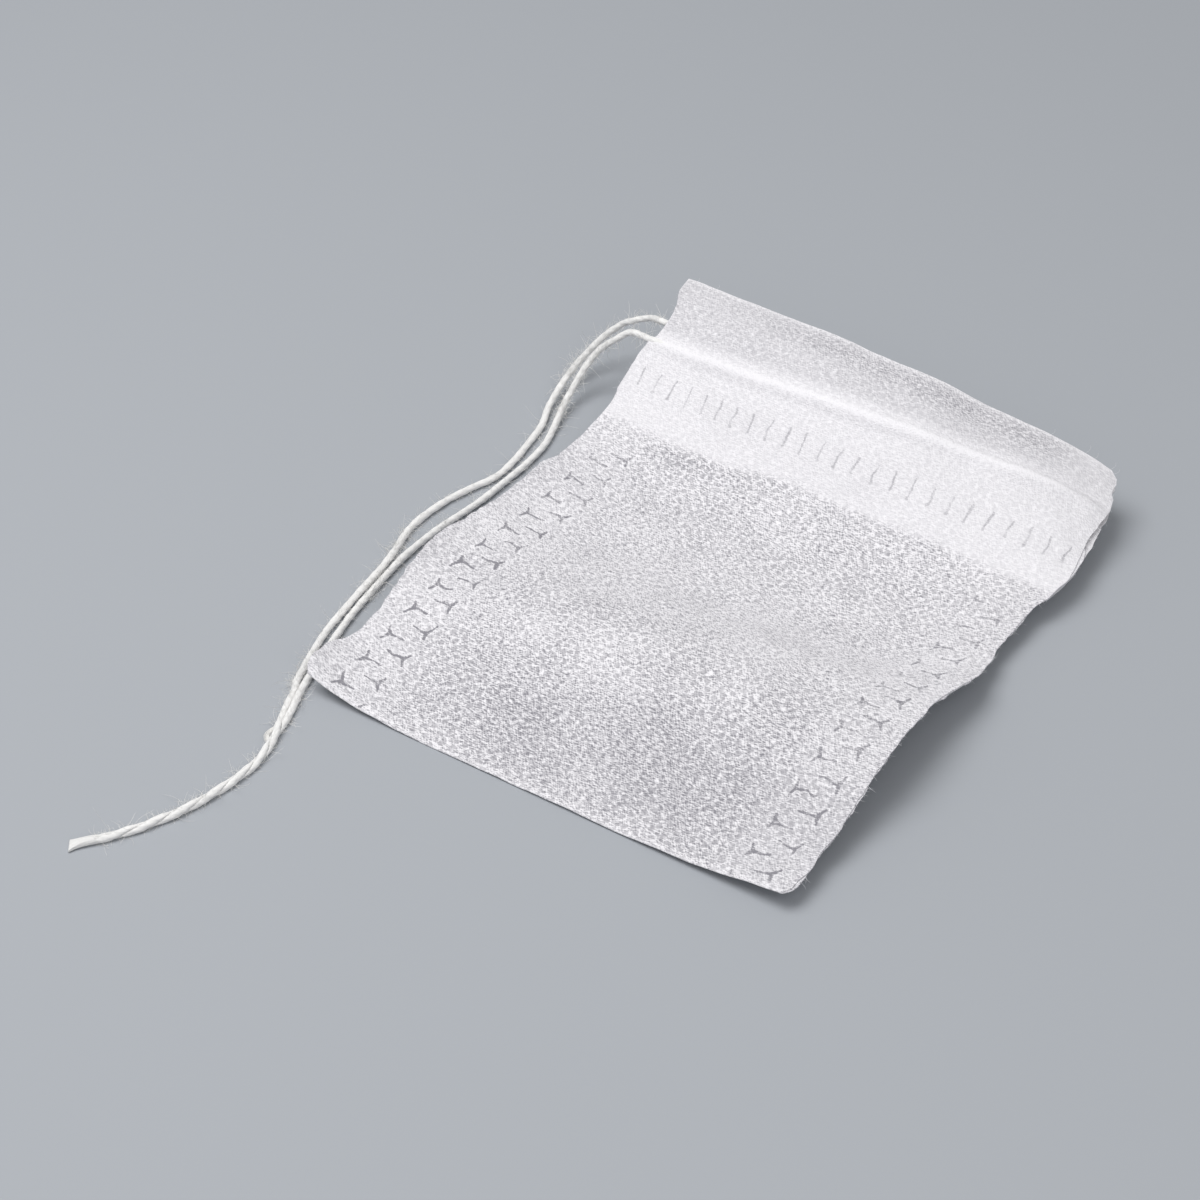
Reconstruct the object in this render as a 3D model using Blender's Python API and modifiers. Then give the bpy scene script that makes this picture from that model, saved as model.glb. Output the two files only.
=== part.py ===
"""Empty drawstring tea filter bag lying on a table. Metres, +Z up.

One strip of thin nonwoven cloth is folded at the bottom, turned in at the mouth on both
sides, and welded: short dashes hold each hem, and two rows of small forked marks join the
sides below the hems. One string runs through both hems and out at the left.

Each piece is laid out flat first. s runs across the bag from its left edge, t runs up the
cloth from the bottom fold, and n is the height above the middle of the flat bag. A single
function then lays the flat shape over the low waves that the bag has on the table.
The origin is under the middle of the bag, +X across it and +Y towards its mouth.
"""

import math

import bmesh
import bpy
import numpy as np
from mathutils import Matrix, Vector

MM = 0.001

# Driving dimensions of the bag
WIDTH = 0.070
HEIGHT = 0.090
HEM_DEPTH = 0.024
CLOTH = 0.0002
FACE_GAP = 0.0003
MOUTH_GAP = 0.0004
BODY_GAP = 0.0005
PILLOW, PILLOW_EASE = 0.0005, 0.011
HEM_RAMP = 0.0034

# Welds
HEM_WELDS = 25
HEM_WELD_BELOW_MOUTH = 0.0174
HEM_WELD_LENGTH = 0.0026
HEM_WELD_WIDTH = 0.0004
HEM_WELD_MARGIN = 0.0021
SEAM_PITCH = 0.0051
SEAM_START = 0.0022
SEAM_TOP_MARGIN = 0.0030
SEAM_OUTER_INSET = 0.0036
SEAM_INNER_INSET = 0.0077
MARK_STEM = 0.0024
MARK_ARM = 0.0012
MARK_ARM_ANGLE = math.radians(112)
MARK_WIDTH = 0.0005

# String
STRING_DIAMETER = 0.0010
FRONT_STRING_BELOW_MOUTH = 0.0110
BACK_STRING_BELOW_MOUTH = 0.0075
TUNNEL_HALF_WIDTH = 0.0045
TURN_START = 0.0035
PUCKER_DEPTH = 0.0034
PUCKER_HALF_LENGTH = 0.0070
TIP_LENGTH = 0.0026
TIP_WIDTH = 0.0026
TIP_THICKNESS = 0.0009
TIP_NECK_SHARE = 0.84

# Waves of the bag on the table, as heights of its middle layer. A triple holds the value
# at the left edge, in the middle and at the right edge.
LEFT_CURL, LEFT_CURL_REACH = 0.0018, 0.020
RIGHT_CURL, RIGHT_CURL_REACH = 0.0026, 0.026
CORNER_LIFT, CORNER_REACH = 0.0012, 0.009
RIDGE_HEIGHT = (0.0013, 0.0056, 0.0046)
RIDGE_PLACE = (0.0265, 0.0254, 0.0291)
RIDGE_LOWER_WIDTH, RIDGE_UPPER_WIDTH = 0.0250, 0.0245
MOUTH_RISE_BELOW = (0.0325, 0.0344, 0.0364)
MOUTH_RISE_RUN = 0.0325
MOUTH_HEIGHT, MOUTH_PEAK = 0.0155, 0.34
MOUTH_FALL_LEFT, MOUTH_FALL_RIGHT = 0.0480, 0.0326

# Mesh steps
ACROSS_STEP = 0.0044
BODY_STEP = 0.0042
HEM_STEP = 0.0031
TUNNEL_STEP = TUNNEL_HALF_WIDTH / 2
FOLD_SIDES = 3
TABLE_STEP = 0.0005
TABLE_PAD = 0.004
STEEPEST_SLOPE = 0.95
STRING_STEP = 0.0046
TURN_POINTS = 7
CURVE_SAMPLES = 12
SAME_POINT = 0.000001
SHARP_FROM = math.radians(40)

# The string's way outside the bag, from each tunnel down to the tip, in millimetres:
# how far left of the bag's left edge, how far up from the bottom fold, and how high
# its middle is above the table. The two strands lie side by side in the tail.
BACK_STRAND = (
    (1.8, 81.2, 9.6), (4.3, 80.5, 8.6), (6.3, 80.3, 7.2), (8.6, 78.5, 4.8),
    (9.7, 73.1, 2.4), (8.8, 66.3, 0.9), (7.2, 62.0, 0.55), (6.3, 57.5, 0.55),
    (5.6, 52.6, 0.55), (5.6, 48.5, 0.55), (6.9, 44.6, 0.55), (8.0, 40.6, 0.55),
    (8.5, 36.5, 0.55), (8.4, 32.5, 0.55), (7.3, 28.1, 0.55), (6.5, 23.9, 0.55),
    (6.0, 19.4, 0.55), (5.3, 14.3, 0.55), (4.4, 9.0, 0.55), (3.2, 3.5, 0.55),
    (1.6, -0.6, 0.55), (0.2, -3.9, 0.55), (-1.3, -7.8, 0.55), (-2.4, -11.3, 0.55),
    (-2.9, -14.4, 0.55), (-2.8, -17.1, 0.55), (-2.4, -19.9, 0.55), (-1.8, -22.7, 0.55),
    (-1.0, -25.4, 0.55), (0.2, -28.2, 0.55), (1.6, -31.0, 0.55), (3.4, -33.8, 0.55),
    (5.0, -35.7, 0.55),
)
FRONT_STRAND = (
    (1.9, 76.3, 9.9), (3.8, 75.6, 8.5), (6.0, 74.5, 6.4), (7.1, 71.9, 3.8),
    (6.7, 66.8, 1.5), (5.4, 62.4, 0.7), (4.2, 58.1, 0.55), (3.8, 53.1, 0.55),
    (3.9, 48.7, 0.55), (4.1, 43.6, 0.55), (4.6, 39.6, 0.55), (5.2, 35.4, 0.55),
    (5.5, 31.4, 0.55), (5.5, 27.4, 0.55), (5.1, 23.2, 0.55), (4.6, 18.8, 0.55),
    (3.9, 14.2, 0.55), (3.0, 10.0, 0.55), (2.0, 5.9, 0.55), (0.8, 1.6, 0.55),
    (-0.4, -1.4, 0.55), (-1.4, -4.5, 0.55), (-2.7, -8.3, 0.55), (-3.7, -11.7, 0.55),
    (-4.2, -14.5, 0.55), (-4.1, -17.3, 0.55), (-3.7, -20.2, 0.55), (-3.1, -23.1, 0.55),
    (-2.3, -25.9, 0.55), (-1.1, -28.8, 0.55), (0.4, -31.8, 0.55), (2.3, -34.6, 0.55),
    (4.0, -36.6, 0.55),
)
TIP = (4.9, -36.6, 0.55)
ROUTE_HEIGHT = 0.090

# Levels of the layers above and below the middle of the flat bag
BODY_LEVEL = (BODY_GAP + CLOTH) / 2
FLAP_LEVEL = (MOUTH_GAP + CLOTH) / 2
HEM_LEVEL = FLAP_LEVEL + CLOTH + FACE_GAP
STRING_LEVEL = FLAP_LEVEL + CLOTH / 2 + FACE_GAP + STRING_DIAMETER / 2
TUNNEL_LEVEL = STRING_LEVEL + STRING_DIAMETER / 2 + FACE_GAP + CLOTH / 2
BASE_LEVEL = BODY_LEVEL + CLOTH / 2

HEM_BOTTOM = HEIGHT - HEM_DEPTH
FRONT_STRING = HEIGHT - FRONT_STRING_BELOW_MOUTH
BACK_STRING = HEIGHT - BACK_STRING_BELOW_MOUTH


def smooth(value):
    """Eases from 0 to 1 as the value goes from 0 to 1."""
    v = np.clip(value, 0, 1)
    return v * v * (3 - 2 * v)


def hump(value):
    """1 at 0, falling smoothly to 0 at -1 and +1."""
    v = np.clip(np.abs(value), 0, 1)
    return np.cos(math.pi * v / 2) ** 2


def through(triple, u):
    """The parabola through a left, a middle and a right value, for u from 0 to 1."""
    left, middle, right = triple
    return left + (4 * middle - 3 * left - right) * u + 2 * (left + right - 2 * middle) * u**2


def table_height(s, t):
    """Height of the bag's middle layer above the table."""
    u = s / WIDTH
    z = BASE_LEVEL + LEFT_CURL * np.clip(1 - s / LEFT_CURL_REACH, 0, None) ** 2
    z = z + RIGHT_CURL * np.clip(1 - (WIDTH - s) / RIGHT_CURL_REACH, 0, None) ** 2
    z = z + CORNER_LIFT * np.clip(1 - np.hypot(s, t) / CORNER_REACH, 0, None) ** 2
    above = t - through(RIDGE_PLACE, u)
    reach = np.where(above < 0, RIDGE_LOWER_WIDTH, RIDGE_UPPER_WIDTH)
    z = z + through(RIDGE_HEIGHT, u) * hump(above / reach)
    fall = np.where(u < MOUTH_PEAK, MOUTH_FALL_LEFT, MOUTH_FALL_RIGHT)
    mouth = MOUTH_HEIGHT - fall * (u - MOUTH_PEAK) ** 2
    start = HEIGHT - through(MOUTH_RISE_BELOW, u)
    return z + mouth * smooth((t - start) / MOUTH_RISE_RUN)


class Drape:
    """Lays flat points over the waves, keeping the cloth's length along both directions."""

    def __init__(self):
        self.s = np.arange(-TABLE_PAD, WIDTH + TABLE_PAD, TABLE_STEP)
        self.t = np.arange(-TABLE_PAD, HEIGHT + TABLE_PAD, TABLE_STEP)
        s, t = np.meshgrid(self.s, self.t, indexing="ij")
        z = table_height(s, t)
        x = self.walked(np.gradient(z, TABLE_STEP, axis=0), 0, WIDTH / 2)
        y = self.walked(np.gradient(z, TABLE_STEP, axis=1), 1, 0.0)
        self.middle = np.stack([x, y, z], -1)
        across = np.gradient(self.middle, TABLE_STEP, axis=0)
        along = np.gradient(self.middle, TABLE_STEP, axis=1)
        normal = np.cross(across, along)
        self.normal = normal / np.linalg.norm(normal, axis=2, keepdims=True)

    def walked(self, slope, axis, zero):
        """Ground covered along one direction by cloth of this slope, from its zero line."""
        ground = np.moveaxis(np.sqrt(1 - np.clip(slope, -STEEPEST_SLOPE, STEEPEST_SLOPE) ** 2), axis, 0)
        steps = (ground[1:] + ground[:-1]) / 2 * TABLE_STEP
        total = np.concatenate([np.zeros_like(ground[:1]), np.cumsum(steps, axis=0)])
        total -= total[round((zero + TABLE_PAD) / TABLE_STEP)]
        return np.moveaxis(total, 0, axis)

    def read(self, field, s, t):
        """A field's value between its table points."""
        i = np.clip((s + TABLE_PAD) / TABLE_STEP, 0, len(self.s) - 1.001)
        j = np.clip((t + TABLE_PAD) / TABLE_STEP, 0, len(self.t) - 1.001)
        i0, j0 = int(i), int(j)
        a, b = i - i0, j - j0
        low = field[i0, j0] * (1 - b) + field[i0, j0 + 1] * b
        high = field[i0 + 1, j0] * (1 - b) + field[i0 + 1, j0 + 1] * b
        return low * (1 - a) + high * a

    def place(self, s, t, n):
        """A flat point's place on the table, from the middle of the bottom fold."""
        return Vector(self.read(self.middle, s, t) + n * self.read(self.normal, s, t))


def panel_level(s, t, string_t, pillow):
    """Level of a panel: low in the body, higher in the hem and highest over the string."""
    in_hem = smooth((t - HEM_BOTTOM) / HEM_RAMP + 1)
    level = BODY_LEVEL + (HEM_LEVEL - BODY_LEVEL) * in_hem
    level += (TUNNEL_LEVEL - HEM_LEVEL) * hump((t - string_t) / TUNNEL_HALF_WIDTH)
    seam = SEAM_INNER_INSET + MARK_STEM
    window = smooth((s - seam) / PILLOW_EASE) * smooth((WIDTH - seam - s) / PILLOW_EASE)
    window *= smooth(t / PILLOW_EASE) * smooth((HEM_BOTTOM - HEM_RAMP - t) / PILLOW_EASE)
    return level + pillow * window


def rows(start, end, step):
    """Even values from start up to but not including end, no further apart than step."""
    count = math.ceil((end - start) / step)
    return list(np.linspace(start, end, count, endpoint=False))


def half_strip(side):
    """The strip from the bottom fold to one flap's raw edge: (t, level or None) pairs.

    None marks a point of the panel, whose level depends on its place across the bag.
    """
    fold = (HEM_LEVEL - FLAP_LEVEL) / 2
    top = HEIGHT - fold
    string = FRONT_STRING if side > 0 else BACK_STRING
    tunnel = (string - TUNNEL_HALF_WIDTH, string + TUNNEL_HALF_WIDTH)
    under_flap = rows(HEM_BOTTOM, tunnel[0], HEM_STEP) + rows(*tunnel, TUNNEL_STEP)
    under_flap += rows(tunnel[1], top, HEM_STEP)
    points = [(t, None) for t in rows(BODY_LEVEL, HEM_BOTTOM - HEM_RAMP, BODY_STEP)]
    points += [(HEM_BOTTOM - HEM_RAMP, None)] + [(t, None) for t in under_flap]
    for k in range(FOLD_SIDES + 1):
        turn = math.pi * k / FOLD_SIDES
        points.append((top + fold * math.sin(turn), HEM_LEVEL - fold * (1 - math.cos(turn))))
    points += [(t, FLAP_LEVEL) for t in reversed(under_flap)]
    return [(t, level, side) for t, level in points]


def strip_path():
    """The whole strip, from the back flap's raw edge round the bottom to the front's."""
    bottom = []
    for k in range(1, FOLD_SIDES):
        turn = math.pi * k / FOLD_SIDES
        place = BODY_LEVEL - BODY_LEVEL * math.sin(turn)
        bottom.append((place, -BODY_LEVEL * math.cos(turn), 0))
    return half_strip(-1)[::-1] + bottom + half_strip(1)


def right_end(t, level):
    """Right end of the cloth: the string draws the flaps in where it turns round them."""
    if level != FLAP_LEVEL:
        return WIDTH
    middle = (FRONT_STRING + BACK_STRING) / 2
    return WIDTH - PUCKER_DEPTH * hump((t - middle) / PUCKER_HALF_LENGTH)


def flat_point(u, row):
    """Flat place of one grid point: u from 0 to 1 across, row one entry of the path."""
    t, level, side = row
    s = u * right_end(t, level)
    if side == 0:
        return Vector((s, t, level))
    if level is None:
        string_t = FRONT_STRING if side > 0 else BACK_STRING
        level = panel_level(s, t, string_t, PILLOW if side > 0 else 0.0)
    return Vector((s, t, side * level))


def new_object(name, data, collection):
    """Adds an object to the collection."""
    item = bpy.data.objects.new(name, data)
    collection.objects.link(item)
    return item


def flat_cloth(collection):
    """The folded strip as an open grid, given its thickness by Solidify."""
    path = strip_path()
    columns = math.ceil(WIDTH / ACROSS_STEP)
    last_row = len(path) - 1
    cloth = bmesh.new()
    bmesh.ops.create_grid(cloth, x_segments=columns, y_segments=last_row, size=0.5)
    for vertex in cloth.verts:
        row = path[round((vertex.co.y + 0.5) * last_row)]
        vertex.co = flat_point(vertex.co.x + 0.5, row)
    mesh = bpy.data.meshes.new("flat_cloth")
    cloth.to_mesh(mesh)
    cloth.free()
    item = new_object("flat_cloth", mesh, collection)
    wall = item.modifiers.new("cloth", "SOLIDIFY")
    wall.thickness = CLOTH
    wall.offset = 0
    wall.use_even_offset = True
    return item


def forked_mark(stem_angle):
    """Outline of a forked mark: a long stem and two short arms, round its junction."""
    arms = ((0.0, MARK_STEM), (MARK_ARM_ANGLE, MARK_ARM), (-MARK_ARM_ANGLE, MARK_ARM))
    arms = sorted(((stem_angle + turn) % (2 * math.pi), length) for turn, length in arms)
    outline = []
    for (angle, length), (following, _) in zip(arms, arms[1:] + arms[:1]):
        along = np.array([math.cos(angle), math.sin(angle)])
        beside = np.array([-along[1], along[0]]) * MARK_WIDTH / 2
        toward = np.array([math.cos(following), math.sin(following)])
        corner = (along + toward) / (along[0] * toward[1] - along[1] * toward[0])
        outline += [along * length - beside, along * length + beside]
        outline.append(corner * MARK_WIDTH / 2)
    return outline


def bar_mark():
    """Outline of a plain dash that runs up the cloth."""
    x, y = HEM_WELD_WIDTH / 2, HEM_WELD_LENGTH / 2
    return [(-x, -y), (x, -y), (x, y), (-x, y)]


def weld_prisms(name, marks, low, high, collection):
    """Prisms between two levels, one for each (s, t, outline), made from a flat curve."""
    curve = bpy.data.curves.new(name, "CURVE")
    curve.dimensions = "2D"
    curve.fill_mode = "BOTH"
    curve.extrude = (high - low) / 2
    for s, t, outline in marks:
        spline = curve.splines.new("POLY")
        spline.points.add(len(outline) - 1)
        for point, (x, y) in zip(spline.points, outline):
            point.co = (s + x, t + y, 0, 1)
        spline.use_cyclic_u = True
    item = new_object(name, curve, collection)
    item.location.z = (low + high) / 2
    return as_closed_mesh(item, collection)


def as_closed_mesh(item, collection):
    """Replaces a curve object by its closed mesh, with the caps welded on."""
    bpy.context.view_layer.update()
    graph = bpy.context.evaluated_depsgraph_get()
    mesh = bpy.data.meshes.new_from_object(item.evaluated_get(graph))
    mesh.transform(item.matrix_world)
    shape = bmesh.new()
    shape.from_mesh(mesh)
    bmesh.ops.remove_doubles(shape, verts=shape.verts, dist=SAME_POINT)
    shape.to_mesh(mesh)
    shape.free()
    name = item.name
    bpy.data.objects.remove(item)
    return new_object(name, mesh, collection)


def hem_welds():
    """Dashes across the bag, just below the string."""
    span = WIDTH - 2 * HEM_WELD_MARGIN
    t = HEIGHT - HEM_WELD_BELOW_MOUTH
    outline = bar_mark()
    places = [HEM_WELD_MARGIN + span * k / (HEM_WELDS - 1) for k in range(HEM_WELDS)]
    return [(s, t, outline) for s in places]


def side_welds():
    """Forked marks up both sides, in two rows that mesh with each other."""
    outward, inward = forked_mark(0), forked_mark(math.pi)
    marks = []
    t = SEAM_START
    while t < HEM_BOTTOM - SEAM_TOP_MARGIN:
        half = t + SEAM_PITCH / 2
        marks.append((SEAM_OUTER_INSET, t, outward))
        marks.append((WIDTH - SEAM_OUTER_INSET, t, inward))
        if half < HEM_BOTTOM - SEAM_TOP_MARGIN:
            marks.append((SEAM_INNER_INSET, half, inward))
            marks.append((WIDTH - SEAM_INNER_INSET, half, outward))
        t += SEAM_PITCH
    return marks


def join(item, other):
    """Unites another closed object with this one."""
    step = item.modifiers.new(other.name, "BOOLEAN")
    step.operation = "UNION"
    step.solver = "EXACT"
    step.object = other


def baked(item, name):
    """The object's evaluated mesh as a new mesh."""
    bpy.context.view_layer.update()
    graph = bpy.context.evaluated_depsgraph_get()
    mesh = bpy.data.meshes.new_from_object(item.evaluated_get(graph))
    mesh.name = name
    return mesh


def material(name, colour, roughness):
    """A plain surface."""
    made = bpy.data.materials.new(name)
    made.use_nodes = True
    shader = made.node_tree.nodes["Principled BSDF"]
    shader.inputs["Base Color"].default_value = (*colour, 1)
    shader.inputs["Roughness"].default_value = roughness
    shader.inputs["Metallic"].default_value = 0
    return made


def filter_bag(drape, pieces, guides):
    """The cloth with its welds, united flat and then laid over the waves."""
    cloth = flat_cloth(guides)
    sides = weld_prisms("side_welds", side_welds(), -BODY_LEVEL, BODY_LEVEL, guides)
    front = weld_prisms("front_hem_welds", hem_welds(), FLAP_LEVEL, HEM_LEVEL, guides)
    back = weld_prisms("back_hem_welds", hem_welds(), -HEM_LEVEL, -FLAP_LEVEL, guides)
    for welds in (sides, front, back):
        join(cloth, welds)
    mesh = baked(cloth, "filter_bag")
    for guide in (cloth, sides, front, back):
        bpy.data.objects.remove(guide)
    for vertex in mesh.vertices:
        vertex.co = drape.place(*vertex.co)
    mesh.materials.clear()
    mesh.materials.append(material("nonwoven_cloth", (0.82, 0.82, 0.84), 0.85))
    mesh.shade_smooth()
    mesh.set_sharp_from_angle(angle=SHARP_FROM)
    return new_object("filter_bag", mesh, pieces)


def route_point(outward, up, height):
    """Place of one point of the string outside the bag, given in millimetres."""
    up *= HEIGHT / ROUTE_HEIGHT
    return Vector((-WIDTH / 2 - outward * MM, up * MM, height * MM))


def string_route(drape):
    """The string's whole way: tip, back strand, both tunnels, front strand, tip."""
    back = [route_point(*point) for point in reversed(BACK_STRAND)]
    front = [route_point(*point) for point in FRONT_STRAND]
    turn_s = WIDTH - TURN_START
    steps = math.ceil(turn_s / STRING_STEP)
    in_back = [(turn_s * k / steps, BACK_STRING, -STRING_LEVEL) for k in range(steps)]
    in_front = [(turn_s * k / steps, FRONT_STRING, STRING_LEVEL) for k in range(steps)]
    middle_t = (FRONT_STRING + BACK_STRING) / 2
    half_t = (BACK_STRING - FRONT_STRING) / 2
    radius = math.hypot(half_t, STRING_LEVEL)
    turn = []
    for k in range(TURN_POINTS + 1):
        angle = math.pi * k / TURN_POINTS
        level, t = -STRING_LEVEL * math.cos(angle), middle_t + half_t * math.cos(angle)
        turn.append((turn_s + radius * math.sin(angle), t, level))
    inside = [drape.place(*point) for point in in_back + turn + in_front[::-1]]
    return smoothed(back + inside[:2]) + inside[2:-2] + smoothed(inside[-2:] + front)


def smoothed(points):
    """Points read at even steps from a smooth curve through the given points."""
    points = [2 * points[0] - points[1]] + points + [2 * points[-1] - points[-2]]
    fine = []
    for a, b, c, d in zip(points, points[1:], points[2:], points[3:]):
        for k in range(CURVE_SAMPLES):
            v = k / CURVE_SAMPLES
            bend = (2 * a - 5 * b + 4 * c - d) * v**2 + (3 * b - a - 3 * c + d) * v**3
            fine.append((2 * b + (c - a) * v + bend) / 2)
    fine.append(points[-2])
    lengths = [0.0]
    for one, other in zip(fine, fine[1:]):
        lengths.append(lengths[-1] + (other - one).length)
    count = math.ceil(lengths[-1] / STRING_STEP)
    wanted = np.linspace(0, lengths[-1], count + 1)
    columns = [np.interp(wanted, lengths, [point[axis] for point in fine]) for axis in range(3)]
    return [Vector(point) for point in zip(*columns)]


def string_tip(collection):
    """The flattened end in which both strands are sealed."""
    place = route_point(*TIP)
    before = route_point(*BACK_STRAND[-1]) + route_point(*FRONT_STRAND[-1])
    heading = place - before / 2
    tip = bmesh.new()
    bmesh.ops.create_cone(
        tip, cap_ends=True, segments=12, radius1=TIP_NECK_SHARE / 2, radius2=0.5, depth=1
    )
    mesh = bpy.data.meshes.new("string_tip")
    tip.to_mesh(mesh)
    tip.free()
    item = new_object("string_tip", mesh, collection)
    item.rotation_euler = (math.pi / 2, 0, math.atan2(heading.y, heading.x) + math.pi / 2)
    item.scale = (TIP_WIDTH, TIP_THICKNESS, TIP_LENGTH)
    item.location = place
    return item


def drawstring(drape, pieces, guides):
    """One string of round section, its two ends sealed together in the tip."""
    curve = bpy.data.curves.new("string", "CURVE")
    curve.dimensions = "3D"
    curve.bevel_depth = STRING_DIAMETER / 2
    curve.bevel_resolution = 2
    curve.use_fill_caps = True
    route = string_route(drape)
    spline = curve.splines.new("POLY")
    spline.points.add(len(route) - 1)
    for point, place in zip(spline.points, route):
        point.co = (*place, 1)
    tube = as_closed_mesh(new_object("string", curve, guides), guides)
    tip = string_tip(guides)
    join(tube, tip)
    mesh = baked(tube, "drawstring")
    for guide in (tube, tip):
        bpy.data.objects.remove(guide)
    mesh.materials.clear()
    mesh.materials.append(material("cotton_string", (0.86, 0.84, 0.78), 0.9))
    mesh.shade_smooth()
    mesh.set_sharp_from_angle(angle=SHARP_FROM)
    return new_object("drawstring", mesh, pieces)


def centre(bag, string):
    """Moves both pieces so that the origin is under the middle of the bag."""
    corners = np.array([vertex.co for vertex in bag.data.vertices])
    middle = (corners.min(axis=0) + corners.max(axis=0)) / 2
    move = Matrix.Translation((-middle[0], -middle[1], -corners[:, 2].min()))
    for item in (bag, string):
        item.data.transform(move)


def main():
    """Builds both pieces in a collection of their own."""
    for item in list(bpy.data.objects):
        bpy.data.objects.remove(item)
    pieces = bpy.data.collections.new("tea_filter_bag")
    guides = bpy.data.collections.new("guides")
    for collection in (pieces, guides):
        bpy.context.scene.collection.children.link(collection)
    drape = Drape()
    bag = filter_bag(drape, pieces, guides)
    string = drawstring(drape, pieces, guides)
    centre(bag, string)


main()
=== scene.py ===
"""Looks of an empty drawstring tea filter bag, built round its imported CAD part.

The cloth is the CAD part's folded strip again, finer and thinner, laid over the same waves.
The string follows the CAD part's route as a twisted three-ply yarn with its stray fibres.
All shapes are worked out in millimetres and made in metres, +Z up.
"""

import math

import bpy
import numpy as np
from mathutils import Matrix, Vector

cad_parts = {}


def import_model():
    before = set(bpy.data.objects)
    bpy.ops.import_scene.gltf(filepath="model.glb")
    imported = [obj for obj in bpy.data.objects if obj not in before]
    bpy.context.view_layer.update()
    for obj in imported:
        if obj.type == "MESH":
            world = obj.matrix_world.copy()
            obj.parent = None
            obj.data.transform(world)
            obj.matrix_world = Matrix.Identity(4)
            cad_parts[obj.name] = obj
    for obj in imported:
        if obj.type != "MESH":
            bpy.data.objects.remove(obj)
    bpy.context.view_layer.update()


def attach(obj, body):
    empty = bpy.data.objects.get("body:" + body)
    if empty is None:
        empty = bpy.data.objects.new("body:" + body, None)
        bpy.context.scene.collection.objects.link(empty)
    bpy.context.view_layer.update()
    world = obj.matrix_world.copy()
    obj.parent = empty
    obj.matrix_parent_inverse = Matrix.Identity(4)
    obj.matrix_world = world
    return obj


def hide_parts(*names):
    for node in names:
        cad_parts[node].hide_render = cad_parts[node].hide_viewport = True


MM = 0.001

# The bag, as in the CAD part, only the back hem's string runs a little lower
WIDTH = 70.0
HEIGHT = 90.0
HEM_DEPTH = 24.0
HEM_BOTTOM = HEIGHT - HEM_DEPTH
HEM_RAMP = 3.4
FRONT_STRING = HEIGHT - 11.0
BACK_STRING = HEIGHT - 8.3
STRING_DRIFT = (-0.7, 1.2, 2.0)
TUNNEL_BELOW, TUNNEL_ABOVE = 2.1, 1.4
HEM_WELDS = 25
HEM_WELD_T = HEIGHT - 17.1
HEM_WELD_LENGTH = 2.6
HEM_WELD_MARGIN = 2.1
SEAM_PITCH = 5.1
SEAM_START = 2.2
SEAM_TOP_MARGIN = 3.0
SEAM_OUTER_INSET = 3.6
SEAM_INNER_INSET = 7.7
MARK_STEM = 2.3
MARK_ARM = 1.2
MARK_ARM_ANGLE = math.radians(112)
TABLE_SHIFT = np.array([0.126, -44.453, 0.0])

# How far each cut edge stands out from its line, by height up the bag, as the photograph shows
LEFT_EDGE_AT = (0, 1, 2.7, 5.6, 8.1, 12.4, 20, 27, 32, 38, 45, 52.4, 54.8, 60, 66, 72, 78, 90)
LEFT_EDGE_OUT = (
    -0.6, 1.3, 1.9, 1.6, 0.4, -0.5, 0.9, 2.2, 2.1, 1.2, 0.9, 1.1, 0.3, 0, -0.4, 0.3, -0.2, 0.2,
)
RIGHT_EDGE_AT = (
    0, 6, 11, 18.7, 22, 28, 34.5, 40.4, 43.9, 49, 54.7, 58, 62, 65, 70, 83.4, 86, 88.6, 90,
)
RIGHT_EDGE_OUT = (
    0, -0.2, 0, -0.3, 0, -0.1, -0.3, 0.3, 0.8, 0.1, -0.9, -0.5, -0.9, -0.3, 0, 0, -1.0, -1.9, -2.4,
)
LEFT_EDGE_SHARE = 0.7
EDGE_ROUNDING = (-1.2, -0.6, 0.0, 0.6, 1.2)
HEM_SIDESTEP, HEM_SIDESTEP_FROM, HEM_SIDESTEP_RUN = 1.0, 61.0, 10.0

# Local changes of the cut edges: how much, at what height, and how far to either side
LEFT_DRAW_IN = (1.65, 82.0, 7.0)
LEFT_PANEL_DRAW_IN = (0.3, 81.7, 2.2)
RIGHT_PANEL_DRAW_IN = (0.8, 77.0, 9.5)
RIGHT_NOTCH = (0.5, 86.6, 1.3)
RIGHT_FLAP_DRAW_IN = (3.4, 80.5, 7.0)
TOP_CORNER, LOW_CORNER, LOW_CORNER_DRAW_IN = 1.8, 1.7, 1.5

# Levels of the layers from the middle of the bag, tighter than the CAD part's
CLOTH = 0.12
BODY_LEVEL = 0.19
FLAP_LEVEL = 0.15
HEM_LEVEL = 0.36
STRING_DIAMETER = 1.0
HEM_STRING_SHARE = 0.62
STRING_LEVEL = FLAP_LEVEL + CLOTH / 2 + STRING_DIAMETER * HEM_STRING_SHARE / 2 + 0.02
TUNNEL_LEVEL = STRING_LEVEL + STRING_DIAMETER * HEM_STRING_SHARE / 2 + CLOTH / 2 + 0.02
BASE_LEVEL = BODY_LEVEL + CLOTH / 2 + 0.03
PILLOW, PILLOW_EASE = 0.5, 11.0

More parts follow.
